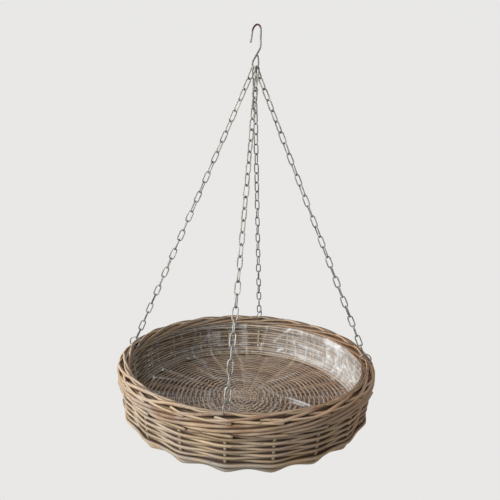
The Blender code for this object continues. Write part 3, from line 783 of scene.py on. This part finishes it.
def link_places(side, wire):
    """Matrices of a strand's links, from the eye down; a link stands in its own YZ plane."""
    plan = basket_parts()[1]
    start, span = strand_line(side, plan)
    down = span.normalized()
    first = span.cross(strand_line(NEIGHBOURS[side], plan)[1]).normalized()
    if first.dot(HOOK_AXIS) <= 0:
        first = -first
    steps = wire.link_count - 1
    half = (wire.link_pitch + wire.chain_wire) / 2
    last = (OUTWARD[side] - down * OUTWARD[side].dot(down)).normalized()
    basis = Matrix((first, (-down).cross(first), -down)).transposed()
    turn = math.atan2(last.dot(basis.col[1]), last.dot(basis.col[0])) + math.pi / 2
    twist = math.remainder(turn - steps * math.pi / 2 - math.pi / 2, math.pi) / steps
    centre, _ = joint_place("ring_%s_turn" % side)
    top = half - wire.hook_wire / 2 - wire.chain_wire / 2 - CLEARANCE
    bottom = ((centre - start).length - (wire.ring_outer - wire.ring_wire) / 2 + wire.ring_wire / 2
              + wire.chain_wire / 2 + CLEARANCE - half)
    chance = random.Random("links " + side)
    places = []
    for index in range(wire.link_count):
        level = -(top + (bottom - top) * index / steps)
        roll = index * (math.pi / 2 + twist)
        if 0 < index < steps:
            roll += chance.uniform(-1, 1) * wire.link_roll
        places.append(Matrix.Translation(start) @ basis.to_4x4() @ Matrix.Translation((0, 0, level))
                      @ Matrix.Rotation(roll, 4, "Z"))
    return places


class BASKET_OT_chains(bpy.types.Operator):
    """Hang the four strands of welded links between the hook's eye and the rings"""
    bl_idname = "basket.chains"
    bl_label = "Chains"

    POINTED = 1.25
    END_STEPS = 7

    def link(self, wire):
        """A long link of round wire with slightly pointed ends, standing in the YZ plane."""
        half_length = (wire.link_pitch + wire.chain_wire) / 2
        half_width = (wire.link_width - wire.chain_wire) / 2
        reach = half_width * self.POINTED
        route = []
        for end in (1, -1):
            for step in range(self.END_STEPS + 1):
                angle = math.pi * step / self.END_STEPS
                across = half_width * math.cos(angle) * end
                route.append(Vector((0, across, end * (half_length - reach + reach * math.sin(angle)))))
            route.append(Vector((0, -end * half_width, 0)))
        return even_rod(route, wire.chain_wire, Vector((1, 0, 0)), closed=True)

    def execute(self, context):
        wire = context.scene.basket_wire
        for side in SIDES:
            links = link_places(side, wire)
            for name, node, some in (("upper_link", "top_link", links[:1]), ("chain_links", "chain", links[1:-1]),
                                     ("lower_link", "end_link", links[-1:])):
                work = new_piece()
                gather(work, self.link(wire), some)
                finish_piece("%s_%s" % (name, side), work, zinc("chain"), "strand_" + side,
                             ["%s_%s" % (node, side)])
        return {"FINISHED"}


class BASKET_OT_rings(bpy.types.Operator):
    """Bend the four rings that join the strands to the rim rod"""
    bl_idname = "basket.rings"
    bl_label = "Rings"

    CUT = math.radians(-140)
    STEPS = 36

    def execute(self, context):
        wire = context.scene.basket_wire
        radius = (wire.ring_outer - wire.ring_wire) / 2
        gap = wire.ring_opening / radius
        for side in SIDES:
            centre, axis = joint_place("ring_%s_turn" % side)
            across = axis.cross(UP).normalized()
            above = across.cross(axis)
            route = []
            for step in range(self.STEPS + 1):
                angle = self.CUT + gap / 2 + (2 * math.pi - gap) * step / self.STEPS
                route.append(centre + radius * (across * math.cos(angle) + above * math.sin(angle)))
            finish_piece("wire_ring_" + side, even_rod(route, wire.ring_wire, axis, sides=10), zinc("ring"),
                         "ring_" + side, ["ring_" + side])
        return {"FINISHED"}


ROUND_LUMPS = 0.05


def round_rod(radius_at, level_at, thickness, seed, steps, sides=8, facing=None, tone=0.5, seams=(0.0, 1.0)):
    """A slightly lumpy rod that runs once round the basket, closed on itself."""
    route, sides_out, radii = [], [], []
    for step in range(steps):
        turn = 2 * math.pi * step / steps
        route.append(spot_at(turn, radius_at(turn), level_at(turn)))
        sides_out.append(facing or round_vector(turn))
        radii.append(thickness / 2 * (1 + ROUND_LUMPS * noise.noise(spot_at(turn, 2.2, seed * 5.3))))
    return sweep(route, radii, sides_out, closed=True, sides=sides, tone=tone, seams=seams)


def between_stakes(turn, stakes):
    """0 at a stake and 1 halfway to the next one, rounded at the stake."""
    return abs(math.sin(turn * stakes / 2)) ** 1.5


def painted_shade_ring(radius, level, thickness, steps, drawn=0.0):
    """A thin ring of painted shade, dark all over, that closes the weave between two rows, drawn in eight steps from
    stake to stake.
    """
    return round_rod(lambda turn: radius - drawn * between_stakes(turn, steps / 8), lambda turn: level, thickness,
                     0, steps, sides=6, tone=0, seams=(1.0, 1.0))


def stray(seed, turn, size):
    """A smooth stray that meets itself after a full turn."""
    return size * noise.noise(spot_at(turn, 2.6, seed * 2.9))


class BASKET_OT_side_weave(bpy.types.Operator):
    """Weave the rods of the wall in front of one stake and behind the next"""
    bl_idname = "basket.side_weave"
    bl_label = "Side weave"

    # Inside the foot's bend: the places of the rods and of the dark strands of painted shade, in degrees below level
    BEND_RODS = (12, 42, 72)
    BEND_STRANDS = (27, 57)
    STRAND_OUT = 0.0008
    BEND_STRAY = 0.0005
    FOOT_STRAND_DROP = 0.0006

    def execute(self, context):
        weave, plan = basket_parts()
        chance = random.Random("side weave")
        work = new_piece()
        pitch = (plan.wall_top - plan.wall_bottom) / weave.rows
        rows = weave.rows + weave.hidden_rows
        drawn = [weave.wall_scallop * max(0, 1 - row / weave.rows) for row in range(rows)]
        for row in range(rows):
            level = plan.wall_bottom + (row + 0.5) * pitch
            thickness = weave.rod * chance.uniform(0.94, 1.04)
            middle = plan.stake_radius(level) + (weave.outset if row < weave.rows else -weave.border_inset)

            def radius_at(turn):
                waved = weave.reach * math.cos(turn * weave.stakes / 2 + row * math.pi)
                return middle + waved - drawn[row] * between_stakes(turn, weave.stakes)

            def level_at(turn):
                sag = 0.5 * stray(row * 3 + 1, turn * 5, weave.unevenness)
                return level + stray(row, turn, weave.unevenness) * 0.5 + sag

            gather(work, round_rod(radius_at, level_at, thickness, row + 1, weave.stakes * 10,
                                   tone=chance.random()))
        # Dark strands of painted shade close the weave between the rows, under the lowest row and in the foot's bend.
        fine = weave.stakes * 8
        for row in range(1, rows):
            level = plan.wall_bottom + row * pitch
            middle = plan.stake_radius(level) - (0 if row < weave.rows else weave.border_inset)
            gather(work, painted_shade_ring(middle, level, weave.shade_strand, fine, drawn[row]))
        gather(work, painted_shade_ring(plan.stake_radius(plan.wall_bottom), plan.wall_bottom - self.FOOT_STRAND_DROP,
                                 weave.foot_shade_strand, fine, drawn[0]))
        inside = weave.stake_bend - (weave.stake + weave.rod) / 2
        for degrees in self.BEND_STRANDS:
            radius, level = plan.on_bend(inside + self.STRAND_OUT, degrees)
            gather(work, painted_shade_ring(radius, level, weave.shade_strand, fine))
        for number, degrees in enumerate(self.BEND_RODS, 50):
            radius, level = plan.on_bend(inside, degrees)
            gather(work, round_rod(lambda turn: radius + stray(number, turn, self.BEND_STRAY),
                                   lambda turn: level + stray(number + 5, turn, self.BEND_STRAY), weave.rod,
                                   number, weave.stakes * 6, tone=chance.random()))
        finish_piece("side_weave_rods", work, rattan("weave"), "basket", ["side_weave"])
        return {"FINISHED"}


class BASKET_OT_stakes(bpy.types.Operator):
    """Set the upright stakes, bent in under the base"""
    bl_idname = "basket.stakes"
    bl_label = "Stakes"

    def execute(self, context):
        weave, plan = basket_parts()
        corners = [Vector((plan.bend_radius - weave.stake_run, 0, plan.base_level))]
        steps = 5
        for step in range(steps + 1):
            angle = plan.bend_angle * step / steps
            corners.append(Vector((plan.bend_radius + weave.stake_bend * math.sin(angle), 0,
                                   plan.bend_level - weave.stake_bend * math.cos(angle))))
        top = plan.border_bottom + weave.stake_top
        row_pitch = (plan.wall_top - plan.wall_bottom) / weave.rows
        chance = random.Random("stakes")
        work = new_piece()
        for parity in (0, 1):
            points = list(corners)
            for row in range(weave.rows):
                level = plan.wall_bottom + (row + 0.5) * row_pitch
                push = weave.stake_give * math.cos((row + parity) * math.pi)
                points.append(Vector((plan.stake_radius(level) - push, 0, level)))
            points.append(Vector((plan.stake_radius(top), 0, top)))
            rod = even_rod(points, weave.stake, Vector((0, 1, 0)), seams=(0.0, 0.0))
            turns = [Matrix.Rotation(index * plan.pitch, 4, "Z") for index in range(parity, weave.stakes, 2)]
            gather(work, rod, turns, [0.55 + 0.45 * chance.random() for _ in turns])
        nodes = ["side_stake_%02d" % (index + 1) for index in range(weave.stakes)]
        finish_piece("side_stakes", work, rattan("weave"), "basket", nodes)
        return {"FINISHED"}


class BASKET_OT_foot_rods(bpy.types.Operator):
    """Bend the two thick rods round the foot, drawn in between the stakes"""
    bl_idname = "basket.foot_rods"
    bl_label = "Foot rods"

    # Each rod's place on the stakes' bend in degrees below level, its tone, and its shares of scallop and rise
    RODS = {"upper": (14, 0.55, 0.7, 0), "lower": (54, 0.35, 1, 1)}
    INSET = 0.0002

    def execute(self, context):
        weave, plan = basket_parts()
        for name, (degrees, tone, drawn, raised) in self.RODS.items():
            radius, level = plan.on_bend(plan.foot_reach, degrees)
            seed = 40 + math.radians(degrees)

            def radius_at(turn):
                return radius - drawn * weave.foot_scallop * between_stakes(turn, weave.stakes) - self.INSET

            def level_at(turn):
                rise = raised * weave.foot_rise * between_stakes(turn, weave.stakes)
                return level + rise + stray(seed, turn, weave.unevenness) * 0.4

            rod = round_rod(radius_at, level_at, weave.foot_rod, seed, weave.stakes * 14, sides=10, tone=tone)
            finish_piece("foot_rod_%s_bent" % name, rod, rattan("foot"), "basket",
                         ["foot_rod_" + name])
        return {"FINISHED"}


class BASKET_OT_border(bpy.types.Operator):
    """Roll the border rods over the rim rod, with their cut tips outside and core rods within"""
    bl_idname = "basket.border"
    bl_label = "Border"

    # Places of a rod: stake pitches along, then mm out from the border's middle and mm above the border's top
    ROLL_MM = ((0.0, 2.4, -20.2), (0.35, 6.8, -19.8), (0.8, 8.1, -17.8), (1.6, 8.2, -13.4), (2.3, 8.0, -9.2),
               (3.0, 7.2, -4.8), (3.4, 5.6, -1.6), (3.8, 2.4, 0.6), (4.2, -2.0, 0.9), (4.6, -5.8, -1.0),
               (5.0, -7.7, -3.8), (5.6, -8.0, -6.6), (6.2, -6.4, -8.6), (6.6, -2.8, -9.6))
    UPPER_TIP_MM = ((-1.25, 3.0, -2.6), (-0.85, 7.4, -3.4), (-0.4, 8.5, -5.0), (0.14, 8.6, -6.9))
    LOWER_TIP_MM = ((-0.8, 3.4, -18.6), (-0.5, 6.6, -21.0), (-0.2, 8.1, -22.2), (0.16, 8.3, -23.0))
    CORE_MM = ((-3.0, -6.6), (2.8, -6.2), (4.6, -11.6))
    CORE_STRAY = 0.0006
    ALONG_STRAY = 0.07
    LUMPS = 0.09
    TAPER = 0.12

    def rolled(self, plan, table, index, chance, thickness, jitter, taper=0.0):
        """One border rod that starts at a stake and follows a table of places."""
        corners = []
        for along, out, above in table:
            turn = (index + along + self.ALONG_STRAY * chance.uniform(-1, 1)) * plan.pitch
            radius = plan.border_middle + out / 1000 + jitter * chance.uniform(-1, 0.4)
            corners.append(spot_at(turn, radius, plan.border_top + above / 1000 + jitter * chance.uniform(-1, 1)))
        route = smooth_route(corners, 5)
        facing, radii = [], []
        for step, point in enumerate(route):
            facing.append((Vector((point.x, point.y, 0)).normalized() + UP * 0.6).normalized())
            lump = self.LUMPS * noise.noise(Vector((step * 0.21, (index + 3) * 3.71, (index + 3) * 1.37)))
            radii.append(thickness / 2 * (1 + lump) * (1 - taper * step / len(route)))
        # Rods are lighter towards the basket's rear as painted light, on top of a random tone.
        rear_painted_light = 0.5 + 0.5 * math.sin((index + table[len(table) // 2][0]) * plan.pitch)
        tone = 0.02 + 0.42 * chance.random() + 0.62 * rear_painted_light
        return sweep(route, radii, facing, sides=10, tone=tone, start=index * 0.7)

    def execute(self, context):
        border = context.scene.basket_border
        weave, plan = basket_parts()
        chance = random.Random("border")
        rods, tips, core = new_piece(), new_piece(), new_piece()
        for index in range(weave.stakes):
            gather(rods, self.rolled(plan, self.ROLL_MM, index, chance, border.rod * chance.uniform(0.94, 1.06),
                                     border.jitter, self.TAPER))
            for table in (self.UPPER_TIP_MM, self.LOWER_TIP_MM):
                thickness = border.tip * chance.uniform(0.85, 1.05)
                gather(tips, self.rolled(plan, table, index, chance, thickness, border.jitter))
        for number, (out, above) in enumerate(self.CORE_MM):
            radius, level = plan.border_middle + out / 1000, plan.border_top + above / 1000
            gather(core, round_rod(lambda turn: radius + stray(number + 70, turn, self.CORE_STRAY),
                                   lambda turn: level + stray(number + 80, turn, self.CORE_STRAY), border.core,
                                   number + 60, weave.stakes * 5))

        def rim_level(turn):
            return plan.rim_level - border.rim_dip * (1 - math.cos(turn * weave.stakes)) / 2

        rim = round_rod(lambda turn: plan.rim_radius, rim_level, border.rim_rod, 90, weave.stakes * 8, tone=0.9)
        for name, work, kind, node in (
                ("border_rods", rods, "border", "border_roll"), ("border_tips", tips, "weave", "border_roll"),
                ("border_core_rods", core, "core", "border_roll"), ("rim_rod_bent", rim, "weave", "rim_rod")):
            finish_piece(name, work, rattan(kind), "basket", [node])
        return {"FINISHED"}


class BASKET_OT_base(bpy.types.Operator):
    """Cross the base sticks and weave rods round them in rows"""
    bl_idname = "basket.base"
    bl_label = "Base"

    # How far the dark strand of painted shade at the base's edge lies outside the start of the bend, and above the
    # base
    EDGE_OUT, EDGE_UP = 0.0024, 0.0008
    # Steps of a ring from stake to stake: fewer near the middle, up to each of these radii
    STEPS_TO = ((0.04, 3), (0.09, 4), (math.inf, 6))

    def stick_corners(self, plan, base, order, layer):
        """A stick's line: a spoke at each end, side by side with its neighbours over the middle."""
        rim = plan.bend_radius + base.edge
        swing = base.offset / rim
        height = plan.base_level + layer * (base.stick + CLEARANCE) / 2
        corners = []
        for angle in (order * plan.pitch + swing, math.pi - order * plan.pitch + swing):
            sign = 1 if math.cos(angle) > 0 else -1
            half = [spot_at(angle, rim, plan.base_level), spot_at(angle, base.eye, plan.base_level),
                    Vector((sign * base.cross_half, order * base.spacing, height))]
            corners = corners + half[::-1] if corners else half
        return corners

    def execute(self, context):
        base = context.scene.basket_base
        weave, plan = basket_parts()
        chance = random.Random("base")
        sticks, rows = new_piece(), new_piece()
        half = weave.stakes // 4
        nodes = []
        for way, layer, turn in (("across", 1, 0), ("fore_aft", -1, math.pi / 2)):
            for index in range(half):
                route = smooth_route(self.stick_corners(plan, base, index - (half - 1) / 2, layer), 6)
                gather(sticks, even_rod(route, base.stick, UP, tone=chance.random()),
                       [Matrix.Rotation(turn, 4, "Z")])
                nodes.append("base_stick_%s_%d" % (way, index + 1))
        finish_piece("base_sticks", sticks, rattan("base"), "basket", nodes)
        edge = plan.bend_radius + base.edge - base.rod / 2
        pitch = (edge - base.eye) / (base.rows - 1)
        swing = base.offset / (plan.bend_radius + base.edge)
        for row in range(-base.middle_rows, base.rows):
            radius = base.eye + pitch * row
            wave = base.wave * (1 if row >= 0 else 0.9)
            level = plan.base_level + (base.cross_rise if radius < base.cross_half * 1.2 else 0.0)
            uneven = base.unevenness if row < base.rows - 1 else 0

            def level_at(turn):
                return level + wave * math.cos((turn - swing) * weave.stakes / 2 + row * math.pi)

            def radius_at(turn):
                return radius + stray(row * 0.1, turn, uneven)

            steps = weave.stakes * next(number for limit, number in self.STEPS_TO if radius < limit)
            gather(rows, round_rod(radius_at, level_at, base.rod, row + 30, steps, sides=6, facing=UP,
                                   tone=chance.random()))
            # A dark strand of painted shade closes the base between two rows.
            if row > -base.middle_rows:
                gather(rows, painted_shade_ring(radius - pitch / 2, plan.base_level, base.shade_strand, steps))
        gather(rows, painted_shade_ring(plan.bend_radius + self.EDGE_OUT, plan.base_level + self.EDGE_UP, base.edge_shade_strand,
                                 weave.stakes * 6))
        finish_piece("base_weave_rods", rows, rattan("base"), "basket", ["base_weave"])
        return {"FINISHED"}


class BASKET_OT_liner(bpy.types.Operator):
    """Lay the crumpled clear film in the basket, with its top edge under the border"""
    bl_idname = "basket.liner"
    bl_label = "Film liner"

    WALL_STEPS, CORNER_STEPS, FLOOR_STEPS, ROUND_STEPS = 20, 8, 44, 400
    FLOOR_GAP = 0.0006
    # Down to this depth below its top edge the pleats of the wall keep their full height
    WALL_DEPTH = 0.062
    # Below its top edge the film lies close, and its folds are full from this depth
    EDGE_DEPTH = 0.012
    # The height over which it comes away from the border, and where round the basket its painted sheen is strongest
    BORDER_STEP = 0.006
    SHEEN_TURN = math.radians(28)
    CREASES, CREASE_RUN = 9, 0.16
    FOLD_HEIGHT, FOLD_SPREAD = 0.0016, 1.3

    def profile(self, plan, film):
        """The film's line from its top edge down the wall, round the corner and in to the middle."""
        floor = BASE_TOP + self.FLOOR_GAP
        top = plan.border_top - film.top_drop
        foot = plan.stake_radius(floor) - film.inset
        inner = foot - film.corner
        points = []
        for step in range(self.WALL_STEPS):
            level = top + (floor + film.corner - top) * step / self.WALL_STEPS
            upper = clamped((level - plan.border_bottom) / self.BORDER_STEP + 0.5)
            points.append((plan.stake_radius(level) - film.inset - film.top_inset * upper, level))
        for step in range(self.CORNER_STEPS + 1):
            angle = math.pi / 2 * step / self.CORNER_STEPS
            points.append((inner + film.corner * math.cos(angle), floor + film.corner * (1 - math.sin(angle))))
        for step in range(1, self.FLOOR_STEPS):
            points.append((inner * (1 - step / self.FLOOR_STEPS), floor))
        return points, floor, inner

    # Folds as the photo shows them, in mm: half width, strength, then the points along each
    # The folds lift the film and whiten it through the crease mask; that white is partly painted glints.
    FOLDS_MM = (
        (2.5, 0.40, (-161, 96, -515), (-137, 118, -564)), (2.5, 0.35, (-144, 119, -514), (-137, 118, -564)),
        (2.5, 0.50, (-102, 158, -536), (-110, 148, -554), (-103, 122, -572), (-87, 93, -572), (-57, 74, -572)),
        (9, 0.35, (-121, 142, -551), (-104, 116, -572)),
        (2.5, 0.80, (-100, 160, -534), (-75, 167, -556), (-79, 172, -529)),
        (7, 0.55, (-89, 166, -533), (-79, 169, -548)), (2.5, 0.60, (-63, 176, -522), (-71, 169, -558)),
        (2.2, 0.55, (-38, 184, -516), (-35, 180, -559)), (2.2, 0.55, (-26, 185, -516), (-24, 182, -559)),
        (5, 0.40, (-32, 184, -516), (-29, 181, -559)),
        (3, 0.70, (33, 184, -545), (64, 176, -514), (83, 168, -512), (90, 166, -526)),
        (3, 0.90, (43, 177, -562), (51, 176, -558)), (4, 0.60, (85, 167, -542), (120, 143, -545)),
        (5, 0.55, (72, 166, -564), (131, 124, -564)), (9, 0.80, (134, 130, -516), (161, 99, -525)),
        (3, 0.90, (141, 126, -528), (157, 103, -514)), (3.5, 1.00, (142, 122, -543), (145, 78, -572)),
        (3, 0.80, (163, 92, -519), (173, 71, -541), (182, 39, -551)), (3, 0.80, (168, 82, -543), (176, 51, -557)),
        (3, 0.70, (151, 110, -540), (160, 85, -563)),
        (3.5, 0.45, (116, 139, -564), (61, 73, -572), (37, 57, -572)),
        (3.5, 0.40, (-87, 93, -572), (-65, 49, -572), (-27, 51, -572), (11, 47, -572), (50, 7, -572), (85, -10, -572)),
        (3.5, 1.00, (74, -3, -572), (104, -20, -572)), (3, 0.80, (79, -15, -572), (95, -22, -572)))

    def folded(self, spot):
        """How strongly the folds of the photo show at a point."""
        sharp = 0.0
        for half, strength, *points in self.FOLDS_MM:
            for first, second in zip(points, points[1:]):
                first, second = Vector(first) / 1000, Vector(second) / 1000
                near, part = geometry.intersect_point_line(spot, first, second)
                near = first if part < 0 else second if part > 1 else near
                away = (spot - near).length * 1000 / (half * self.FOLD_SPREAD)
                if away < 1:
                    sharp = max(sharp, strength * (1 - away ** 2))
        return sharp

    def pleats(self, film):
        """Upright folds round the wall: turn, lean, height, half width, and how far each runs into the floor."""
        chance = random.Random("film pleats")
        found = []
        for index in range(film.pleats):
            turn = 2 * math.pi * (index + chance.uniform(-0.4, 0.4)) / film.pleats
            found.append((turn, chance.uniform(-0.9, 0.9), chance.uniform(0.35, 1.0) * film.pleat_height,
                          chance.uniform(0.004, 0.010), chance.uniform(0.02, 0.09)))
        return found

    def creases(self):
        """Straight folds left in the film's floor from when it was folded flat."""
        chance = random.Random("film creases")
        found = []
        for _ in range(self.CREASES):
            angle = chance.uniform(0, math.pi)
            found.append((Vector((math.cos(angle), math.sin(angle))), chance.uniform(-0.13, 0.13),
                          chance.uniform(0.0008, 0.0024), chance.uniform(0.003, 0.007), chance.uniform(-0.1, 0.1)))
        return found

    def lift(self, film, folds, creases, spot, depth, radius):
        """How far the film stands off what it lies on, and how sharply it is creased, at a point."""
        turn = math.atan2(spot.y, spot.x)
        height, sharp = 0.0004, 0.0
        for angle, lean, size, width, run in folds:
            fade = clamped(1 - (depth - self.WALL_DEPTH) / run)
            if fade <= 0:
                continue
            away = abs(math.remainder(turn - angle - lean * 0.10 * (depth / 0.06), 2 * math.pi)) * max(radius, 0.03)
            if away < width:
                rise = (1 - away / width) ** 1.4 * fade
                height += size * rise * min(1.0, 0.25 + depth / 0.03)
                sharp = max(sharp, (1 - away / width) ** 3 * fade)
        for way, offset, size, width, middle in creases:
            away = abs(way.x * spot.x + way.y * spot.y - offset - 0.004 * noise.noise(spot * 9))
            if away < width:
                along = abs(-way.y * spot.x + way.x * spot.y - middle)
                fade = max(0.0, 1 - along / self.CREASE_RUN)
                height += size * (1 - away / width) ** 1.5 * fade
                sharp = max(sharp, 0.75 * (1 - away / width) ** 2 * fade)
        seen = self.folded(spot)
        height += self.FOLD_HEIGHT * seen
        sharp = max(sharp * 0.7, seen)
        for scale, size in ((17, 1.0), (38, 0.4)):
            ridge = (1 - abs(noise.noise(spot * scale + Vector((scale, 0, 0))))) ** 8
            patchy = max(0.0, noise.noise(spot * 9 + Vector((2, 7, 1))) * 1.6 + 0.25)
            height += film.wrinkle * size * ridge * patchy
            sharp = max(sharp, 0.5 * ridge ** 2 * size * patchy)
        height += film.billow * (0.5 + 0.5 * noise.noise(spot * 11 + Vector((5, 3, 1))))
        return height, sharp

    def execute(self, context):
        film = context.scene.basket_film
        points, floor, inner = self.profile(basket_parts()[1], film)
        work = bmesh.new()
        line = [work.verts.new((radius, 0, level)) for radius, level in points]
        edges = [work.edges.new(pair) for pair in zip(line, line[1:])]
        bmesh.ops.spin(work, geom=line + edges, cent=(0, 0, 0), axis=UP, steps=self.ROUND_STEPS,
                       angle=2 * math.pi, use_merge=True)
        bmesh.ops.holes_fill(work, edges=[edge for edge in work.edges if edge.is_boundary
                                          and max(vert.co.xy.length for vert in edge.verts) < 0.01], sides=0)
        bmesh.ops.recalc_face_normals(work, faces=work.faces)
        top = points[0][1]
        crease = work.verts.layers.float.new("crease")
        haze = work.verts.layers.float.new("haze")
        folds, creases = self.pleats(film), self.creases()
        for vert in work.verts:
            radius = vert.co.xy.length
            depth = max(0.0, top - vert.co.z + max(0.0, inner - radius))
            inward = Vector((-vert.co.x, -vert.co.y, 0)).normalized() if radius > 0.001 else Vector()
            slant = clamped((vert.co.z - floor) / film.corner)
            height, vert[crease] = self.lift(film, folds, creases, vert.co.copy(), depth, radius)
            wall = clamped((radius - inner) / film.corner)
            side = max(0.0, math.cos(math.atan2(vert.co.y, vert.co.x) - self.SHEEN_TURN))
            free = min(1.0, 0.2 + depth / self.EDGE_DEPTH)
            vert.co += (inward * slant + UP * (1 - slant)).normalized() * height * free
            # A thin haze on all the walls, and painted sheen that grows towards the right inner wall.
            vert[haze] = wall * (0.12 + 0.88 * side ** 3)
        for face in work.faces:
            face.smooth = True
        item = finish_piece("film_liner", work, material_of("clear_film_sheet", film_shader), "basket",
                            ["liner"])
        return {"FINISHED"}


OPERATORS = (BASKET_OT_studio, BASKET_OT_hook, BASKET_OT_chains, BASKET_OT_rings, BASKET_OT_side_weave,
             BASKET_OT_stakes, BASKET_OT_foot_rods, BASKET_OT_border, BASKET_OT_base, BASKET_OT_liner)


class BASKET_PT_sidebar(bpy.types.Panel):
    """Lists the basket's pieces and their sizes"""
    bl_idname = "BASKET_PT_sidebar"
    bl_label = "Hanging basket"
    bl_space_type = "VIEW_3D"
    bl_region_type = "UI"
    bl_category = "Basket"

    def draw(self, context):
        for operator in OPERATORS:
            self.layout.operator(operator.bl_idname)
        for name, group in GROUPS.items():
            box = self.layout.box()
            box.label(text=group.__name__)
            for key in group.__annotations__:
                box.prop(getattr(context.scene, name), key)


CLASSES = (*GROUPS.values(), *OPERATORS, BASKET_PT_sidebar)


def register():
    for item in CLASSES:
        bpy.utils.register_class(item)
    for name, group in GROUPS.items():
        setattr(bpy.types.Scene, name, PointerProperty(type=group))


def unregister():
    for name in GROUPS:
        delattr(bpy.types.Scene, name)
    for item in reversed(CLASSES):
        bpy.utils.unregister_class(item)


def main():
    register()
    bpy.ops.basket.studio()
    bpy.ops.basket.hook()
    bpy.ops.basket.chains()
    bpy.ops.basket.rings()
    bpy.ops.basket.side_weave()
    bpy.ops.basket.stakes()
    bpy.ops.basket.foot_rods()
    bpy.ops.basket.border()
    bpy.ops.basket.base()
    bpy.ops.basket.liner()


if __name__ == "__main__":
    main()
